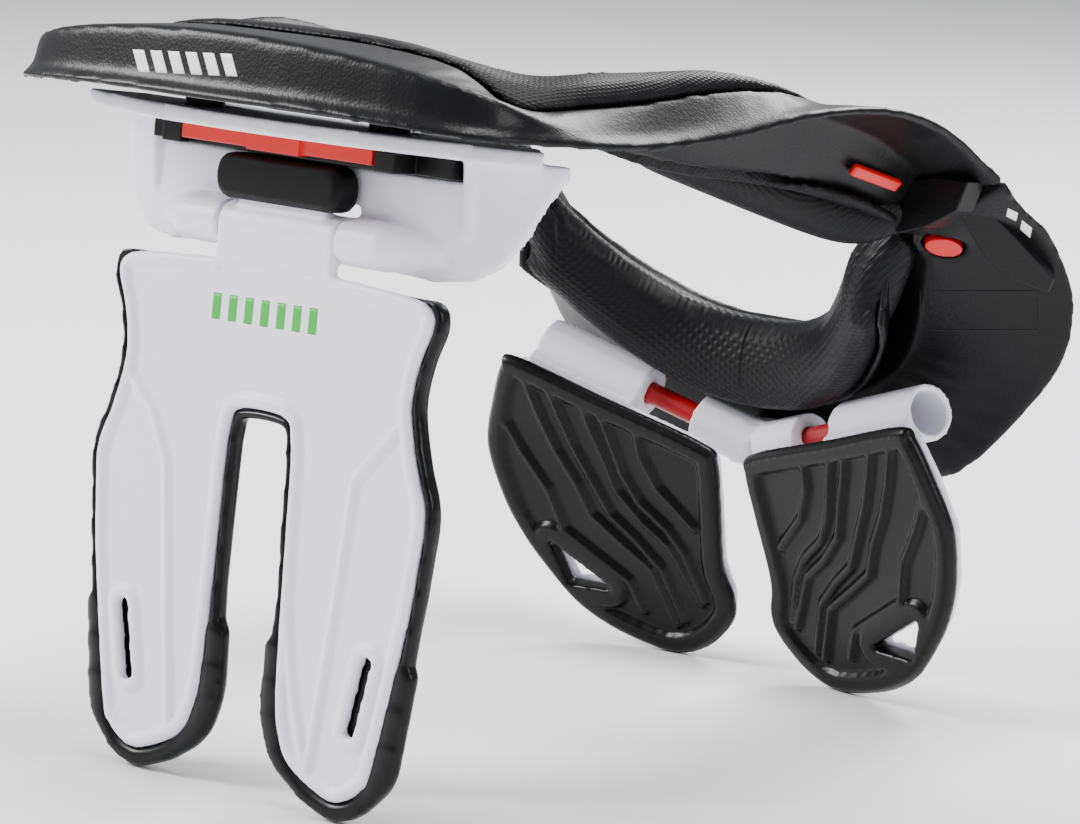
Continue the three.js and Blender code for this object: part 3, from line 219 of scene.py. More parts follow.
# The nape roll has a coarser embossed diamond.
NAPE_WEAVE = WovenFinish("pressed foam, diamond emboss", "#0e0e10", Slot.FOAM, 0.44, 0.9, 0.9,
                         specular=0.16, pitch_mm=2.2)
# Hot-pressed EVA: closed skin, fine pores and a soft broad highlight.
EVA_FOAM = Finish("hot-pressed EVA foam", "#080809", Slot.FOAM, 0.30, 0.35, 0.2, specular=0.2)
# Moulded rubber, matt with a fine bloom.
WEDGE_RUBBER = Finish("moulded black rubber", "#0d0d0e", Slot.RUBBER, 0.5, 0.4, 0.3, specular=0.14)
# White nylon from a fine spark-eroded mould: slightly lavender, soft satin.
WHITE_NYLON = Finish("white nylon, fine grain mould", "#f0eff9", Slot.WHITE, 0.42, 0.45, 0.25,
                     mottle=0.01)
# Red acetal, smooth and clean.
RED_ACETAL = Finish("red acetal, satin mould", "#cc0a04", Slot.RED, 0.34, 0.5, 0.1, mottle=0.03)
# Red acetal of the pins, darkened with painted shade because the pins sit in shade.
SHADED_PIN_ACETAL = Finish("red acetal, painted shade", "#b00a14", Slot.RED, 0.38, 0.5, 0.1, mottle=0.03)
# Pad print, a thin even film.
WHITE_PRINT = Finish("white pad print", "#f2f2f2", Slot.WHITE, 0.5, 0.3, 0.1, mottle=0.02)
GREEN_PRINT = Finish("green pad print", "#06ae2a", Slot.WHITE, 0.5, 0.3, 0.1, mottle=0.03)


@dataclass(frozen=True)
class GroundSteel(Finish):
    """Ground pin steel: metallic, with a fine grain and a bright hard highlight."""

    def material(self) -> bpy.types.Material:
        """Returns the steel with its metallic socket set."""
        made = super().material()
        made.node_tree.nodes["Principled BSDF"].inputs["Metallic"].default_value = 1.0
        return made


PIN_STEEL = GroundSteel("ground pin steel", "#a9abb0", Slot.STEEL, 0.3, 0.2, 0.15)


@dataclass(frozen=True)
class Viewfinder:
    """The photograph's camera, fitted to the brace.

    Attributes:
        place: Position in metres.
        azimuth: Degrees from +Y towards the wearer's right.
        elevation: Degrees that it looks down.
        roll: Degrees that the picture is turned.
        focal_px: Focal length in pixels of the photograph.
        size: Width and height of the photograph in pixels.
    """

    place: tuple[float, float, float] = (1.07091, -1.15635, 0.39726)
    azimuth: float = 42.538
    elevation: float = 10.283
    roll: float = 1.683
    focal_px: float = 4700.7
    size: tuple[int, int] = (1080, 824)

    def basis(self) -> Matrix:
        """Returns the axes to the picture's right, up and back as a matrix's columns."""
        turn, dip = math.radians(self.azimuth), math.radians(self.elevation)
        ahead = Vector((-math.sin(turn) * math.cos(dip), math.cos(turn) * math.cos(dip), -math.sin(dip)))
        level = Vector((math.cos(turn), math.sin(turn), 0))
        up = level.cross(ahead)
        roll = math.radians(self.roll)
        right = level * math.cos(roll) + up * math.sin(roll)
        return Matrix((right, right.cross(ahead), -ahead)).transposed()

    def camera(self) -> bpy.types.Object:
        """Creates the camera and makes it the scene's.

        Returns:
            The camera object.
        """
        sensor = 36.0
        data = bpy.data.cameras.new("photo_camera")
        data.sensor_width = sensor
        data.lens = self.focal_px / self.size[0] * sensor
        data.clip_end = 50
        made = bpy.data.objects.new("photo_camera", data)
        made.matrix_world = Matrix.Translation(self.place) @ self.basis().to_4x4()
        bpy.context.scene.collection.objects.link(made)
        bpy.context.scene.camera = made
        return made

    def ray(self, pixel: Pixel) -> Vector:
        """Finds the direction from the camera through a pixel of the photograph.

        Args:
            pixel: The pixel, right and down.

        Returns:
            The direction, of length one.
        """
        right = (pixel[0] - self.size[0] / 2) / self.focal_px
        down = (pixel[1] - self.size[1] / 2) / self.focal_px
        return (self.basis() @ Vector((right, -down, -1))).normalized()

    def on_plane(self, lines: Sequence[Sequence[Pixel]], place: Matrix,
                 level: float) -> list[list[PlanePoint]]:
        """Finds where lines of pixels fall on a plane of constant y in a frame.

        Args:
            lines: Lines of pixels of the photograph.
            place: Place of the plane's frame.
            level: The plane's y in that frame.

        Returns:
            The lines' x and z in the frame, in metres.
        """
        inverse = place.inverted()
        eye = inverse @ Vector(self.place)
        turned = inverse.to_3x3()
        found = []
        for line in lines:
            rays = [turned @ self.ray(pixel) for pixel in line]
            hits = [eye + ray * ((level - eye.y) / ray.y) for ray in rays]
            found.append([(hit.x, hit.z) for hit in hits])
        return found


VIEW = Viewfinder()


def tree_of(piece: bpy.types.Object) -> BVHTree:
    """Returns a search tree of a piece's mesh.

    Args:
        piece: The piece.

    Returns:
        A tree for casting rays at it.
    """
    built = bmesh.new()
    built.from_mesh(piece.data)
    found = BVHTree.FromBMesh(built)
    built.free()
    return found


def evaluated(piece: bpy.types.Object) -> None:
    """Bakes a piece's modifiers into its mesh.

    Args:
        piece: The piece, which is left without modifiers.
    """
    graph = bpy.context.evaluated_depsgraph_get()
    mesh = bpy.data.meshes.new_from_object(piece.evaluated_get(graph))
    piece.modifiers.clear()
    piece.data = mesh


def linked(name: str, mesh: bpy.types.Mesh) -> bpy.types.Object:
    """Adds an object for a mesh to the scene.

    Args:
        name: Name of the object.
        mesh: Its mesh or curve.

    Returns:
        The object.
    """
    made = bpy.data.objects.new(name, mesh)
    bpy.context.scene.collection.objects.link(made)
    return made


def soft_step(low: float, high: float, value: float) -> float:
    """Returns 0 below one value, 1 above another and a smooth run between.

    Args:
        low: The step starts here.
        high: It ends here.
        value: Where it is read.

    Returns:
        A share from 0 to 1.
    """
    share = min(max((value - low) / (high - low), 0.0), 1.0)
    return share * share * (3 - 2 * share)


def segment_distance(x: float, z: float, line: Sequence[PlanePoint]) -> float:
    """Returns the distance of a point from a line of straight stretches.

    Args:
        x: First coordinate of the point.
        z: Second coordinate.
        line: Corners of the line.

    Returns:
        The least distance, in the units given.
    """
    best = math.inf
    for (ax, az), (bx, bz) in zip(line, line[1:]):
        dx, dz = bx - ax, bz - az
        share = min(max(((x - ax) * dx + (z - az) * dz) / (dx * dx + dz * dz), 0.0), 1.0)
        best = min(best, math.hypot(x - ax - share * dx, z - az - share * dz))
    return best


Relief = Callable[[Vector, float], float]
Hold = Callable[[Vector], float]


@dataclass(frozen=True)
class Outline:
    """A plate's closed outline, drawn by corners, and the fair curve through them.

    Attributes:
        corners: Corners in the plate's own x and z, in metres.
        frame: Place of the plate's own axes in the row frame.
        reach: How far from the outline a point still follows the curve.
    """

    corners: tuple[PlanePoint, ...]
    frame: Matrix
    reach: float = 9 * MM

    def shift(self, x: float, z: float) -> PlanePoint:
        """Returns the step from the straight outline to the fair curve beside a point.

        Args:
            x: First coordinate of the point in the plate's axes.
            z: Second coordinate.

        Returns:
            The step along x and z, which fades away from the outline.
        """
        count = len(self.corners)
        best = (math.inf, 0, 0.0)
        for i, (ax, az) in enumerate(self.corners):
            bx, bz = self.corners[(i + 1) % count]
            dx, dz = bx - ax, bz - az
            share = min(max(((x - ax) * dx + (z - az) * dz) / (dx * dx + dz * dz), 0.0), 1.0)
            away = math.hypot(x - ax - share * dx, z - az - share * dz)
            if away < best[0]:
                best = (away, i, share)
        away, i, t = best
        if away > self.reach:
            return 0.0, 0.0
        a, b, c, d = (self.corners[(i + k) % count] for k in (-1, 0, 1, 2))
        fade = 1 - soft_step(0.4 * self.reach, self.reach, away)
        step = []
        for k in range(2):
            square = 2 * a[k] - 5 * b[k] + 4 * c[k] - d[k]
            cube = 3 * b[k] - a[k] - 3 * c[k] + d[k]
            fair = (2 * b[k] + (c[k] - a[k]) * t + square * t ** 2 + cube * t ** 3) / 2
            step.append(fade * (fair - b[k] - (c[k] - b[k]) * t))
        return step[0], step[1]

    def fair(self, mesh: bpy.types.Mesh) -> None:
        """Moves a plate's vertices from the straight outline to the fair curve.

        Args:
            mesh: The plate's mesh, in the row frame.
        """
        inverse = self.frame.inverted()
        turned = self.frame.to_3x3()
        for vert in mesh.vertices:
            place = inverse @ vert.co
            x, z = self.shift(place.x, place.z)
            vert.co += turned @ Vector((x, 0, z))


STRUT_HALF, STRUT_LENGTH = 75.5 * MM, 185 * MM
# Half the chest strut from the hinge's neck down and back up to the fork, as shares.
STRUT_ROWS = (
    (0.355, 0.106), (0.795, 0.116), (0.927, 0.130), (0.954, 0.162), (0.895, 0.225), (0.868, 0.303),
    (0.925, 0.395), (1.000, 0.476), (0.985, 0.575), (0.954, 0.676), (0.834, 0.924), (0.775, 0.970),
    (0.682, 0.995), (0.593, 1.000), (0.437, 0.978), (0.331, 0.951), (0.275, 0.914), (0.236, 0.849),
    (0.217, 0.676), (0.205, 0.476), (0.191, 0.400), (0.139, 0.362),
)
WING_LENGTH, WING_DROP = 106 * MM, 87 * MM
# A wing's outline from the inner end of its top, outward and round, as shares.
WING_ROWS = (
    (0.150, -0.020), (0.560, -0.010), (0.940, 0.000), (0.985, 0.060), (1.000, 0.230), (0.995, 0.470),
    (0.900, 0.690), (0.795, 0.830), (0.690, 0.925), (0.540, 1.030), (0.380, 1.070), (0.200, 1.060),
    (0.080, 1.020), (-0.020, 0.910), (-0.085, 0.750), (-0.075, 0.640), (-0.010, 0.510), (0.045, 0.220),
    (0.085, 0.040),
)


def strut_outline() -> Outline:
    """Returns the whole outline of the chest strut."""
    half = [(along * STRUT_HALF, -down * STRUT_LENGTH) for along, down in STRUT_ROWS]
    return Outline(tuple(half + [(-x, z) for x, z in reversed(half)]), STANDING)


MERGE_WITHIN = 0.002 * MM
FLAT_WITHIN, BEVEL_OVER, SHARP_OVER = (math.radians(angle) for angle in (0.6, 32, 50))


def dressed(made: bpy.types.Object, finish: Finish, body: str) -> bpy.types.Object:
    """Gives a piece its material and its body.

    Args:
        made: The piece.
        finish: Its finish.
        body: The body that it rides on.

    Returns:
        The same piece.
    """
    made.data.materials.clear()
    made.data.materials.append(finish.material())
    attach(made, body)
    LOG.info("%s: %d faces", made.name, len(made.data.polygons))
    return made


@dataclass
class Moulding:
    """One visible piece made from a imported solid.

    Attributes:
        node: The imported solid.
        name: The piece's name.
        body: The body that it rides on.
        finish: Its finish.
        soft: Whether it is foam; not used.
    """

    node: str
    name: str
    body: str
    finish: Finish
    soft: bool = False

    def copy(self) -> bpy.types.Object:
        """Returns a merged copy of the solid's mesh as a new object."""
        mesh = frame["nodes"][self.node].data.copy()
        built = bmesh.new()
        built.from_mesh(mesh)
        bmesh.ops.remove_doubles(built, verts=built.verts, dist=MERGE_WITHIN)
        bmesh.ops.dissolve_limit(built, angle_limit=FLAT_WITHIN, verts=built.verts, edges=built.edges)
        built.to_mesh(mesh)
        built.free()
        mesh.materials.clear()
        if mesh.has_custom_normals:
            mesh.attributes.remove(mesh.attributes["custom_normal"])
        return linked(self.name, mesh)

    def crisp(self, radius: float = 0.5 * MM, steps: int = 2) -> bpy.types.Object:
        """Makes the piece with small rounded edges on flat moulded faces.

        Args:
            radius: Width of the rounding.
            steps: Segments of the rounding.

        Returns:
            The finished piece.
        """
        made = self.copy()
        built = bmesh.new()
        built.from_mesh(made.data)
        sharp = [edge for edge in built.edges if edge.is_manifold and edge.calc_face_angle(0) > BEVEL_OVER]
        bmesh.ops.bevel(built, geom=sharp, offset=radius, affect="EDGES", segments=steps, profile=0.5,
                        material=-1, clamp_overlap=True)
        for face in built.faces:
            face.smooth = True
        for edge in built.edges:
            if edge.is_manifold and edge.calc_face_angle(0) > SHARP_OVER:
                edge.smooth = False
        built.to_mesh(made.data)
        built.free()
        made.modifiers.new("normals", "WEIGHTED_NORMAL").keep_sharp = True
        return self.finished(made)

    def rounded(self, voxel: float, passes: int, reliefs: Iterable[tuple[Vector, Relief]] = (),
                outline: Outline | None = None, hold: Hold | None = None) -> bpy.types.Object:
        """Makes the piece from an even fine mesh, relaxed so that its edges roll over.

        Args:
            voxel: Size of the mesh's faces.
            passes: Smoothing passes.
            reliefs: Facing directions with the relief cut or raised there.
            outline: Outline that the piece follows as a fair curve.
            hold: Share of the smoothing that a point takes.

        Returns:
            The finished piece.
        """
        made = self.copy()
        remesh = made.modifiers.new("even", "REMESH")
        remesh.mode = "VOXEL"
        remesh.voxel_size = voxel
        remesh.use_smooth_shade = True
        evaluated(made)
        if outline is not None:
            outline.fair(made.data)
        relax = made.modifiers.new("relax", "SMOOTH")
        if hold is not None:
            group = made.vertex_groups.new(name="relaxed")
            for vert in made.data.vertices:
                group.add([vert.index], hold(vert.co), "REPLACE")
            relax.vertex_group = group.name
        relax.factor = 0.5
        relax.iterations = passes
        evaluated(made)
        for facing, relief in reliefs:
            carve(made, facing, relief)
        made.data.shade_smooth()
        wrap_coordinates(made)
        return self.finished(made)

    def finished(self, made: bpy.types.Object) -> bpy.types.Object:
        """Dresses a piece and puts it in the solid's place.

        Args:
            made: The piece.

        Returns:
            The same piece.
        """
        dressed(made, self.finish, self.body)
        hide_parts(self.node)
        return made


@lru_cache(maxsize=None)
def middle_of(node: str) -> Vector:
    """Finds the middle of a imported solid.

    Args:
        node: Name of the solid.

    Returns:
        The mean of its vertices.
    """
    points = [vert.co for vert in frame["nodes"][node].data.vertices]
    return sum(points, Vector()) / len(points)


# Cosines against a side's direction: above the first is its face, below the second its edge.
FRONT_OVER, SIDE_UNDER = 0.75, 0.6


def carve(piece: bpy.types.Object, facing: Vector, relief: Relief) -> None:
    """Moves the vertices of one side in or out by a relief.

    Args:
        piece: The piece, with a fine mesh.
        facing: Outward direction of the side.
        relief: Height for a point and its distance from the side's edge.
    """
    mesh = piece.data
    normals = [Vector(corner.vector) for corner in mesh.vertex_normals]
    front = [vert.index for vert in mesh.vertices if normals[vert.index].dot(facing) > FRONT_OVER]
    border = [vert.index for vert in mesh.vertices if abs(normals[vert.index].dot(facing)) < SIDE_UNDER]
    edge = KDTree(len(border))
    for i in border:
        flat = mesh.vertices[i].co - facing * mesh.vertices[i].co.dot(facing)
        edge.insert(flat, i)
    edge.balance()
    heights = {}
    for i in front:
        point = mesh.vertices[i].co
        flat = point - facing * point.dot(facing)
        heights[i] = relief(point.copy(), edge.find(flat)[2])
    for i, height in heights.items():
        mesh.vertices[i].co += facing * height
    mesh.update()


RING_CENTRE, RING_RADIUS = Vector((0, 5)) * MM, 85 * MM


def wrap_coordinates(piece: bpy.types.Object) -> None:
    """Stores where each vertex lies along the ring and around the roll, for the woven skins.

    Args:
        piece: The piece that gets the wrap attribute.
    """
    wrap = piece.data.attributes.new("wrap", "FLOAT_VECTOR", "POINT")
    for vert in piece.data.vertices:
        flat = vert.co.xy - RING_CENTRE
        turn = math.atan2(flat.x, -flat.y)
        wrap.data[vert.index].vector = (turn * RING_RADIUS, flat.length - vert.co.z, 0)


def surface_points(target: BVHTree, pixels: Sequence[Pixel], steps: int) -> list[tuple[Vector, Vector]]:
    """Finds the points of a surface that the photograph shows along a line of pixels.

    Args:
        target: Search tree of the surface.
        pixels: Corners of the line.
        steps: Points for each stretch.

    Returns:
        Points and normals of the surface, without the pixels that miss it.
    """
    found = []
    for (ax, ay), (bx, by) in zip(pixels, pixels[1:]):
        for k in range(steps):
            share = k / (steps - 1)
            pixel = (ax + (bx - ax) * share, ay + (by - ay) * share)
            hit, normal, _, _ = target.ray_cast(Vector(VIEW.place), VIEW.ray(pixel))
            if hit is not None:
                found.append((hit, normal))
    return found


PRINT_LIFT, PRINT_THICK = 0.12 * MM, 0.1 * MM


def printed_mark(name: str, target: bpy.types.Object, corners: Sequence[Pixel], body: str,
                 finish: Finish) -> bpy.types.Object | None:
    """Lays a thin printed mark with four corners on a surface.

    Args:
        name: Name of the piece.
        target: The piece it is printed on.
        corners: Its corners in the photograph, in order.
        body: The body it rides on.
        finish: The print.

    Returns:
        The mark, or None where the surface isn't behind it.
    """
    surface = tree_of(target)
    built = bmesh.new()
    bmesh.ops.create_grid(built, x_segments=10, y_segments=6, size=0.5)
    a, b, c, d = (Vector(corner) for corner in corners)
    for vert in built.verts:
        s, t = vert.co.x + 0.5, vert.co.y + 0.5
        pixel = a.lerp(b, s).lerp(d.lerp(c, s), t)
        hit, normal, _, _ = surface.ray_cast(Vector(VIEW.place), VIEW.ray((pixel.x, pixel.y)))
        if hit is None:
            built.free()
            LOG.warning("%s misses its surface", name)
            return None
        vert.co = hit + normal * PRINT_LIFT
    for face in built.faces:
        face.smooth = True
    towards = Vector(VIEW.place) - built.verts[:][0].co
    built.normal_update()
    if sum(face.normal.dot(towards) for face in built.faces) < 0:
        bmesh.ops.reverse_faces(built, faces=built.faces)
    mesh = bpy.data.meshes.new(name)
    built.to_mesh(mesh)
    built.free()
    made = linked(name, mesh)
    thick = made.modifiers.new("film", "SOLIDIFY")
    thick.thickness = PRINT_THICK
    thick.offset = -1
    evaluated(made)
    return dressed(made, finish, body)


def bead(name: str, target: bpy.types.Object, pixels: Sequence[Pixel], radius: float, body: str,
         finish: Finish) -> bpy.types.Object | None:
    """Raises a slim rounded ridge along a line of the photograph on a surface.

    Args:
        name: Name of the piece.
        target: The piece it stands on.
        pixels: Corners of the line in the photograph.
        radius: Radius of the ridge.
        body: The body it rides on.
        finish: Its finish.

    Returns:
        The ridge, or None where the surface isn't behind it.
    """
    found = surface_points(tree_of(target), pixels, 8)
    if len(found) < 3:
        LOG.warning("%s misses its surface", name)
        return None
    curve = bpy.data.curves.new(name, "CURVE")
    curve.dimensions = "3D"
    curve.bevel_depth = radius
    curve.bevel_resolution = 3
    curve.use_fill_caps = True
    spline = curve.splines.new("POLY")
    spline.points.add(len(found) - 1)
    for point, (hit, normal) in zip(spline.points, found):
        point.co = (*(hit - normal * radius * 0.45), 1)
    made = linked(name, curve)
    graph = bpy.context.evaluated_depsgraph_get()
    mesh = bpy.data.meshes.new_from_object(made.evaluated_get(graph))
    bpy.data.objects.remove(made)
    made = linked(name, mesh)
    made.data.shade_smooth()
    return dressed(made, finish, body)


def pad_plane(target: BVHTree, pixels: Sequence[Pixel]) -> tuple[Vector, Vector]:
    """Finds the plane through three pixels' hits on a surface.

    Args:
        target: Search tree of the surface.
        pixels: The three pixels.

    Returns:
        A point of the plane and its normal, which faces the camera.
    """
    hits = [target.ray_cast(Vector(VIEW.place), VIEW.ray(pixel))[0] for pixel in pixels]
    normal = (hits[1] - hits[0]).cross(hits[2] - hits[0]).normalized()
    if normal.dot(Vector(VIEW.place) - hits[0]) < 0:
        normal.negate()
    return hits[0], normal


def prism(name: str, corners: Sequence[Vector], run: Vector, radius: float, steps: int) -> bpy.types.Object:
    """Builds a prism with rounded edges.

    Args:
        name: Name of the piece.
        corners: Corners of one end.
        run: Step from that end to the other.
        radius: Rounding of its edges.
        steps: Segments of the rounding.

    Returns:
        The prism, without a finish.
    """
    built = bmesh.new()
    end = built.faces.new([built.verts.new(corner) for corner in corners])
    grown = bmesh.ops.extrude_face_region(built, geom=[end])
    moved = [item for item in grown["geom"] if isinstance(item, bmesh.types.BMVert)]
    bmesh.ops.translate(built, verts=moved, vec=run)
    bmesh.ops.recalc_face_normals(built, faces=built.faces)
    bmesh.ops.bevel(built, geom=built.edges[:], offset=radius, affect="EDGES", segments=steps, profile=0.5,
                    material=-1, clamp_overlap=True)
    mesh = bpy.data.meshes.new(name)
    built.to_mesh(mesh)
    built.free()
    return linked(name, mesh)


def block_on(name: str, target: bpy.types.Object, plane: Sequence[Pixel], outline: Sequence[Pixel],
             high: float, sunk: float, body: str, finish: Finish) -> bpy.types.Object:
    """Builds a moulded block that stands on a surface.

    Args:
        name: Name of the piece.
        target: The piece it stands on.
        plane: Three pixels whose hits on the target set the block's plane.
        outline: Corners of the block in the photograph.
        high: Height over the plane.
        sunk: Depth of its foot below the plane.
        body: The body it rides on.
        finish: Its finish.

    Returns:
        The block.
    """
    origin, normal = pad_plane(tree_of(target), plane)
    eye = Vector(VIEW.place)
    corners = []
    for pixel in outline:
        ray = VIEW.ray(pixel)
        corners.append(eye + ray * ((origin + normal * high - eye).dot(normal) / ray.dot(normal)))
    made = prism(name, corners, -normal * (high + sunk), 0.7 * MM, 3)
    made.data.shade_smooth()
    made.modifiers.new("normals", "WEIGHTED_NORMAL")
    return dressed(made, finish, body)


def roll_along(name: str, path: Sequence[tuple[Vector, float, float]], body: str,
               finish: Finish) -> bpy.types.Object:
    """Lofts a foam roll along a path in the row frame.

    Args:
        name: Name of the piece.
        path: Points with the roll's half width and half height there.
        body: The body it rides on.
        finish: Its finish.

    Returns:
        The roll, closed and smooth.
    """
    built = bmesh.new()
    rings = []
    for i, (point, wide, tall) in enumerate(path):
        before, after = path[max(i - 1, 0)][0], path[min(i + 1, len(path) - 1)][0]
        along = (after - before).normalized()
        side = along.cross(Vector((0, 0, 1))).normalized()
        up = side.cross(along)
        ring = []
        for k in range(ROLL_SIDES):
            turn = 2 * math.pi * k / ROLL_SIDES
            ring.append(built.verts.new(point + side * wide * math.cos(turn) + up * tall * math.sin(turn)))
        rings.append(ring)
    for low, high in zip(rings, rings[1:]):
        for k in range(ROLL_SIDES):
            beside = (k + 1) % ROLL_SIDES
            built.faces.new((low[k], low[beside], high[beside], high[k]))
    built.faces.new(rings[0][::-1])
    built.faces.new(rings[-1])
    bmesh.ops.recalc_face_normals(built, faces=built.faces)
    mesh = bpy.data.meshes.new(name)
    built.to_mesh(mesh)
    built.free()
    made = linked(name, mesh)
    fine = made.modifiers.new("fine", "SUBSURF")
    fine.levels = fine.render_levels = 2
    evaluated(made)
    made.data.shade_smooth()
    wrap_coordinates(made)
    dressed(made, finish, body)
    return made


ROLL_SIDES = 16

# Both edges of the seam stay crisp: forward of the first value and behind the second they relax.
SEAM_FRONT, SEAM_BACK = 84 * MM, 97 * MM

# Foam roll under the hem of each arm: x, y, z, half width and half height in millimetres.
ARM_ROLL = [
    (79, -34, 211, 2.5, 2.5), (77.5, -24, 208.5, 4.5, 4.5), (77, 0, 202.5, 5.5, 6.5),
    (76.5, 25, 196, 6.5, 8.5), (76, 45, 190.5, 7, 9.5), (78, 62, 186, 8, 11), (83, 74, 182.5, 8.5, 11),
    (88.5, 79.5, 182, 7.5, 9), (94, 84, 183, 5, 6), (98, 86, 184, 2.5, 3),
]


SIDES = (("left", 1), ("right", -1))

# Near ends of the nape roll, up towards the arm rolls, in the same terms.
NAPE_END = [
    (69, 99, 137, 6, 6), (71, 98, 145, 9, 9), (74.5, 97.5, 154, 10, 10), (79, 97.2, 163, 9.5, 9.5),
    (84, 97.2, 170.5, 8, 8), (88.5, 97, 175.5, 5, 4.5),
]


def roll_points(rows: Sequence[Sequence[float]], way: int) -> list[tuple[Vector, float, float]]:
    """Turns rows of millimetres into a roll's path, or its mirror image.

    Args:
        rows: The path's x, y, z, half width and half height in millimetres.
        way: 1 for the left side, -1 for the right one.

    Returns:
        Points, half widths and half heights in metres.
    """
    return [(Vector((way * x, y, z)) * MM, wide * MM, tall * MM) for x, y, z, wide, tall in rows]


@dataclass
class FrontHalf:
    """Front table, its collar pad and what is fixed to them.

    Attributes:
        body: The body that they ride on.
        tab_turn: How far a size tab is turned along the hem.
        tab_long: How much longer than its solid it is drawn.
        tab_slim: How much slimmer.
    """

    body: str = "front_half"
    tab_turn: float = math.radians(12)
    tab_long: float = 1.25
    tab_slim: float = 0.62

    @staticmethod
    def hold(point: Vector) -> float:
        """Holds the seam out of the smoothing.

        Args:
            point: A point of the shell.

        Returns:
            The share of the smoothing that it takes.
        """
        return 1 - 0.9 * soft_step(SEAM_FRONT, SEAM_FRONT + 4 * MM, point.y)

    def build(self) -> None:
        """Makes and dresses the front half."""
        shell = Moulding("front_table", "front_table_shell", self.body, SHELL_NYLON).rounded(
            1.25 * MM, 22, hold=self.hold)
        Moulding("front_collar", "front_collar_pad", self.body, COLLAR_WEAVE, soft=True).rounded(1.5 * MM, 14)
        Moulding("slide_rail", "slide_rail_bar", self.body, SLIDE_NYLON).crisp()
        Moulding("lock_bar", "lock_bar_red", self.body, RED_ACETAL).crisp(0.6 * MM)
        for side, way in SIDES:
            self.size_tab(side, way)
        Moulding("side_pin", "side_pin_steel", self.body, PIN_STEEL).crisp(0.3 * MM)
        self.dashes(shell)
        for side, way in SIDES:
            self.latch_block(side, way)
        for side, way in SIDES:
            roll_along(f"arm_roll_{side}", roll_points(ARM_ROLL, way), self.body, COLLAR_WEAVE)

    def size_tab(self, side: str, way: int) -> None:
        """Makes a red size tab as a slim lozenge that lies along the arm's hem.

        Args:
            side: Left or right.
            way: 1 for the left side, -1 for the right one.
        """
        made = Moulding(f"size_tab_{side}", f"size_tab_{side}_red", self.body, RED_ACETAL).crisp(1.2 * MM, 3)
        points = [vert.co.copy() for vert in made.data.vertices]
        centre = sum(points, Vector()) / len(points)
        along = Vector((-2 * way, 17.8, -9)).normalized()
        across = Vector((4 * way, 2.9, 4.9)).normalized()
        cos, sin = math.cos(self.tab_turn), math.sin(self.tab_turn)
        for vert in made.data.vertices:
            arm = vert.co - centre
            long, short = arm.dot(along) * self.tab_long, arm.dot(across) * self.tab_slim
            rest = arm - along * arm.dot(along) - across * arm.dot(across)
            vert.co = centre + rest + along * (long * cos - short * sin) + across * (long * sin + short * cos)

    def latch_block(self, side: str, way: int) -> None:
        """Fills the arm's end under the latch with the block that carries the tongue.

        Args:
            side: Left or right.
            way: 1 for the left side, -1 for the right one.
        """
        section = [(88, 8), (91, 16), (98, 23), (110, 25.5), (124, 25.5), (120, 15), (108, 8.5), (97, 5)]
        front, back = 198, 207.7
        corners = [STANDING @ (Vector((way * x, front, z)) * MM) for x, z in section]
        run = STANDING.to_3x3() @ Vector((0, (back - front) * MM, 0))
        dressed(prism(f"latch_block_{side}", corners, run, 0.5 * MM, 2), SHELL_NYLON, self.body)

    def dashes(self, shell: bpy.types.Object) -> None:
        """Prints a row of plain slanted bars on the front wall.

        Args:
            shell: The front shell.
        """
        first, step, width, slant = 133.0, 17.5, 11.0, -6.0
        for i in range(6):
            left, top = first + step * i, 49.5 + 0.045 * step * i
            right = left + width
            corners = [(left, top), (right, top + 0.5), (right - slant, top + 23), (left - slant, top + 22.5)]
            printed_mark(f"front_bar_{i + 1}", shell, corners, self.body, WHITE_PRINT)


@dataclass
class SlidingTable:
    """White lower table and its hinge pin."""

    body: str = "table"

    def build(self) -> None:
        """Makes and dresses the lower table."""
        Moulding("lower_table", "lower_table_white", self.body, WHITE_NYLON).rounded(1.05 * MM, 3)
        Moulding("chest_pin", "chest_pin_steel", self.body, PIN_STEEL).crisp(0.3 * MM)


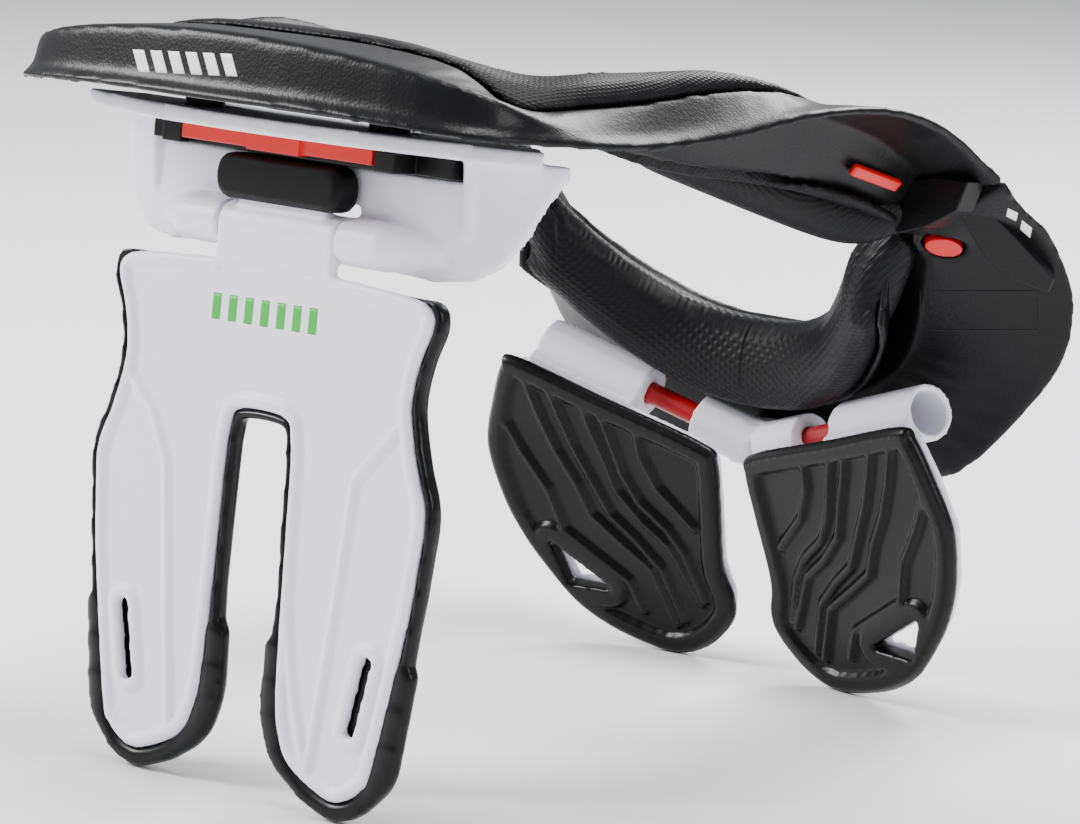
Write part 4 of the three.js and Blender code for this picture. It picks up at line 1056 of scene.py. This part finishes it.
@dataclass
class ChestStrut:
    """White chest tray with its foam backing and the rubber wedge.

    Attributes:
        body: The body that they ride on.
        neck_tall: The tray starts this far below the hinge.
        rim_wide: Width of the rolled rim.
        rim_slope: Width of its slope into the tray.
        tray_deep: Depth of the tray.
        crease_high: Height of the creases.
        crease_wide: Half width of a crease.
        boot_from: The boots start this far down.
        boot_to: They fade from here to the tips.
        boot_wide: How far they swell.
    """

    body: str = "chest"
    neck_tall: float = 19 * MM
    rim_wide: float = 2.2 * MM
    rim_slope: float = 3.2 * MM
    tray_deep: float = 1.7 * MM
    crease_high: float = 1.6 * MM
    crease_wide: float = 2.8 * MM
    boot_from: float = 136 * MM
    boot_to: float = 172 * MM
    boot_wide: float = 2.6 * MM

    @staticmethod
    def creases() -> list[list[PlanePoint]]:
        """Returns the tray's crease lines, as x and z in the drawn strut, in metres."""
        pixels = [
            [(125, 368), (150, 410), (163, 460), (165, 760)],
            [(205, 560), (198, 640), (186, 745)],
            [(395, 430), (352, 480), (333, 600), (303, 775)],
            [(282, 600), (290, 700), (300, 760)],
            [(222, 262), (337, 285)],
        ]
        return VIEW.on_plane(pixels, STANDING, 0.0)

    def build(self) -> None:
        """Makes and dresses the chest strut."""
        lines = self.creases()
        drawn = STANDING.inverted()

        def tray(point: Vector, edge: float) -> float:
            """Gives the tray a rolled rim, a sunk field and raised creases.

            Args:
                point: A point of the tray's front.
                edge: Its distance from the tray's edge.

            Returns:
                Height over the flat tray.
            """
            place = drawn @ point
            if place.z > -self.neck_tall:
                return 0.0
            field = soft_step(self.rim_wide, self.rim_wide + self.rim_slope, edge)
            crease = min(segment_distance(place.x, place.z, line) for line in lines)
            ridge = self.crease_high * (1 - soft_step(0, self.crease_wide, crease))
            return field * (ridge - self.tray_deep)

        facing = STANDING.to_3x3() @ Vector((0, -1, 0))
        strut = Moulding("chest_strut", "chest_tray", self.body, WHITE_NYLON).rounded(
            1.0 * MM, 6, [(facing, tray)], outline=strut_outline())
        foam = Moulding("chest_pad", "chest_foam", self.body, EVA_FOAM, soft=True).rounded(
            1.15 * MM, 22, outline=strut_outline())
        self.boots(foam)
        Moulding("angle_wedge", "angle_wedge_rubber", self.body, WEDGE_RUBBER).rounded(0.7 * MM, 4)
        self.marks(strut)

    def boots(self, foam: bpy.types.Object) -> None:
        """Swells the sides of the foam at the tips of the two legs.

        Args:
            foam: The foam behind the tray.
        """
        drawn = STANDING.inverted()
        moves = []
        for vert in foam.data.vertices:
            down = -(drawn @ vert.co).z
            swell = soft_step(self.boot_from, self.boot_from + 5 * MM, down)
            swell *= 1 - soft_step(self.boot_to, STRUT_LENGTH, down)
            moves.append(self.boot_wide * swell * vert.normal.x)
        for vert, move in zip(foam.data.vertices, moves):
            vert.co.x += move

    def marks(self, strut: bpy.types.Object) -> None:
        """Prints a short row of green bars below the neck of the tray.

        Args:
            strut: The tray.
        """
        for i in range(7):
            left, top = 211 + 16 * i, 292 + 2.6 * i
            corners = [(left + 3, top), (left + 11, top + 1.3), (left + 8.5, top + 27.5),
                       (left + 0.5, top + 26.2)]
            printed_mark(f"chest_bar_{i + 1}", strut, corners, self.body, GREEN_PRINT)


@dataclass
class RearHalf:
    """Rear shell, nape roll, release buttons and the wing mount.

    Attributes:
        body: The body that they ride on, apart from the buttons.
        button_scale: Size of a drawn button over its solid, so that it slides free.
    """

    body: str = "rear_half"
    button_scale: float = 0.92

    @staticmethod
    def hold(point: Vector) -> float:
        """Holds the seam and the pockets of the two buttons out of the smoothing.

        Args:
            point: A point of the shell.

        Returns:
            The share of the smoothing that it takes.
        """
        pocket = middle_of("release_button_left")
        away = (Vector((abs(point.x), point.y, point.z)) - pocket).length
        seam = 0.12 + 0.88 * soft_step(SEAM_BACK, SEAM_BACK + 5 * MM, point.y)
        return seam * (0.05 + 0.95 * soft_step(10 * MM, 15 * MM, away))

    def build(self) -> None:
        """Makes and dresses the rear half."""
        shell = Moulding("rear_shell", "rear_shell_black", self.body, SHELL_NYLON).rounded(
            1.2 * MM, 30, hold=self.hold)
        Moulding("rear_collar", "nape_roll", self.body, NAPE_WEAVE, soft=True).rounded(1.3 * MM, 10)
        for side, way in SIDES:
            roll_along(f"nape_end_{side}", roll_points(NAPE_END, way), self.body, NAPE_WEAVE)
        for side, _ in SIDES:
            middle = middle_of(f"release_button_{side}")
            button = Moulding(f"release_button_{side}", f"release_button_{side}_red", f"button_{side}",
                              RED_ACETAL).rounded(0.4 * MM, 5)
            for vert in button.data.vertices:
                vert.co = middle + (vert.co - middle) * self.button_scale
            # The wing pins take the red acetal darkened with painted shade.
            Moulding(f"wing_pin_{side}", f"wing_pin_{side}_red", self.body, SHADED_PIN_ACETAL).crisp()
        Moulding("wing_mount", "wing_mount_white", self.body, WHITE_NYLON).rounded(0.8 * MM, 3)
        self.ridges(shell)

    def ridges(self, shell: bpy.types.Object) -> None:
        """Raises the latch block and the grip panel's outline, and prints two plain marks.

        Args:
            shell: The rear shell.
        """
        plane = [(950, 275), (1040, 305), (985, 335)]
        outline = [(958, 212), (975, 200), (988, 210), (1055, 280), (1049, 293), (1010, 280), (985, 258),
                   (965, 226)]
        block_on("latch_block_rear", shell, plane, outline, 5.5 * MM, 5 * MM, self.body, SHELL_NYLON)
        panel = [(920, 291), (1038, 291), (1038, 330), (920, 330), (920, 291)]
        bead("grip_panel_line", shell, panel, 0.35 * MM, self.body, SHELL_NYLON)
        marks = [
            [(1008, 208), (1018, 213), (1016, 221), (1006, 216)],
            [(1022, 220), (1032, 228), (1030, 238), (1020, 229)],
        ]
        for i, corners in enumerate(marks):
            printed_mark(f"open_mark_{i + 1}", shell, corners, self.body, WHITE_PRINT)


@dataclass
class Wing:
    """One back wing: white plate with its barrel, and a ribbed foam pad.

    Attributes:
        side: Left or right.
        rib_wide: Half width of a rib at its foot.
        rib_high: Height of the ribs over the field.
        border: Width of the raised border.
        field_deep: Depth of the field inside the border.
        drawn: Turns a point of the pad into its own frame.
        lines: Middle lines of the ribs in that frame.
    """

    side: str
    rib_wide: float = 2.6 * MM
    rib_high: float = 2.4 * MM
    border: float = 6.0 * MM
    field_deep: float = 2.6 * MM
    drawn: Matrix = field(init=False)
    lines: list[list[PlanePoint]] = field(init=False)

    def frame(self) -> Matrix:
        """Returns the pad's own frame: x outward, z up along the plate, y through it."""
        hinge = (Matrix.Translation(WING_AXIS) @ Matrix.Rotation(-WING_SWEEP, 4, "Z")
                 @ Matrix.Rotation(-WING_RISE, 4, "Y") @ Matrix.Rotation(WING_RAKE, 4, "X")
                 @ Matrix.Translation((0, -WING_FACE, 0)) @ Matrix.Rotation(WING_LEAN, 4, "X"))
        if self.side == "right":
            hinge = Matrix.Scale(-1, 4, Vector((1, 0, 0))) @ hinge
        return STANDING @ hinge

    @staticmethod
    def rib_lines() -> list[list[PlanePoint]]:
        """Returns the ribs' middle lines on the pad, as x and z in its frame, in metres.

        They are read on the right wing's pad, which the photograph shows whole, and both
        wings take them.
        """
        pixels = [
            [(494, 407), (519, 451), (546, 491), (562, 531), (594, 556), (627, 582), (642, 612)],
            [(517, 368), (536, 415), (553, 450), (575, 486), (590, 517), (617, 542), (650, 571), (675, 626)],
            [(540, 376), (556, 415), (571, 448), (592, 486), (609, 517), (633, 540), (660, 571), (682, 622)],
            [(575, 393), (586, 425), (601, 458), (615, 493), (640, 523), (668, 549), (699, 606)],
            [(592, 404), (606, 437), (620, 475), (637, 504), (665, 531), (682, 556), (703, 602)],
            [(630, 419), (638, 458), (655, 490), (692, 531)],
        ]
        return VIEW.on_plane(pixels, Wing("right").frame(), PAD_FACE)

    def ribs(self, point: Vector, edge: float) -> float:
        """Returns the pad's relief: a raised border and bent ribs on a sunk field.

        Args:
            point: A point of the pad's front.
            edge: Its distance from the pad's edge.

        Returns:
            Height over the flat pad.
        """
        place = self.drawn @ point
        inside = soft_step(self.border, self.border + 2.5 * MM, edge)
        nearest = min(segment_distance(place.x, place.z, line) for line in self.lines)
        height = self.rib_high * (1 - soft_step(0.25 * self.rib_wide, self.rib_wide, nearest))
        return inside * (height - self.field_deep)

    def build(self) -> None:
        """Makes and dresses the wing."""
        body = f"wing_{self.side}"
        facing = self.frame().to_3x3() @ Vector((0, -1, 0))
        self.drawn = self.frame().inverted()
        self.lines = self.rib_lines()
        corners = tuple((along * WING_LENGTH, -down * WING_DROP) for along, down in WING_ROWS)
        outline = Outline(corners, self.frame())
        Moulding(f"wing_frame_{self.side}", f"wing_plate_{self.side}", body, WHITE_NYLON).rounded(
            0.95 * MM, 5)
        Moulding(f"wing_pad_{self.side}", f"wing_foam_{self.side}", body, EVA_FOAM, soft=True).rounded(
            1.0 * MM, 7, [(facing.normalized(), self.ribs)], outline=outline)


@dataclass
class Studio:
    """Pale floor, soft boxes and an even sky."""

    floor_colour: str = "#f4f4f5"
    sky_colour: str = "#f2f3f6"
    sky_strength: float = 0.6

    def build(self) -> None:
        """Makes the floor, the lights and the camera."""
        built = bmesh.new()
        bmesh.ops.create_grid(built, x_segments=2, y_segments=2, size=4.0)
        mesh = bpy.data.meshes.new("studio_floor")
        built.to_mesh(mesh)
        built.free()
        floor = linked("studio_floor", mesh)
        paper = Finish("paper backdrop", self.floor_colour, Slot.WHITE, 0.9, 2.0, 0.02, mottle=0.004)
        floor.data.materials.append(paper.material())
        self.soft_box("key_box", (-1.5, -1.0, 1.2), (0, 0, 0.12), 0.7, 58)
        self.soft_box("side_box", (1.8, -0.2, 0.9), (0, 0, 0.12), 0.6, 15)
        self.soft_box("rim_box", (-0.5, 1.7, 1.4), (0, 0, 0.15), 0.9, 42)
        self.soft_box("top_box", (0.3, 0.1, 2.1), (0, 0, 0.1), 0.8, 46)
        VIEW.camera()
        world = bpy.data.worlds.new("studio_sky")
        world.use_nodes = True
        sky = world.node_tree.nodes["Background"]
        sky.inputs["Color"].default_value = linear(self.sky_colour)
        sky.inputs["Strength"].default_value = self.sky_strength
        bpy.context.scene.world = world

    def soft_box(self, name: str, place: tuple[float, float, float], aim: tuple[float, float, float],
                 size: float, watts: float) -> None:
        """Adds a square area light that faces a point.

        Args:
            name: Name of the light.
            place: Where it hangs.
            aim: What it faces.
            size: Side of the square.
            watts: Its power.
        """
        data = bpy.data.lights.new(name, "AREA")
        data.size = size
        data.energy = watts
        made = bpy.data.objects.new(name, data)
        made.location = place
        made.rotation_euler = (Vector(aim) - Vector(place)).to_track_quat("-Z", "Y").to_euler()
        bpy.context.scene.collection.objects.link(made)


def main() -> None:
    """Builds the studio and every sub-assembly."""
    logging.basicConfig(level=logging.INFO, format="%(name)s %(message)s")
    Studio().build()
    for part in (FrontHalf(), SlidingTable(), ChestStrut(), RearHalf(), Wing("left"), Wing("right")):
        part.build()


if __name__ == "__main__":
    main()
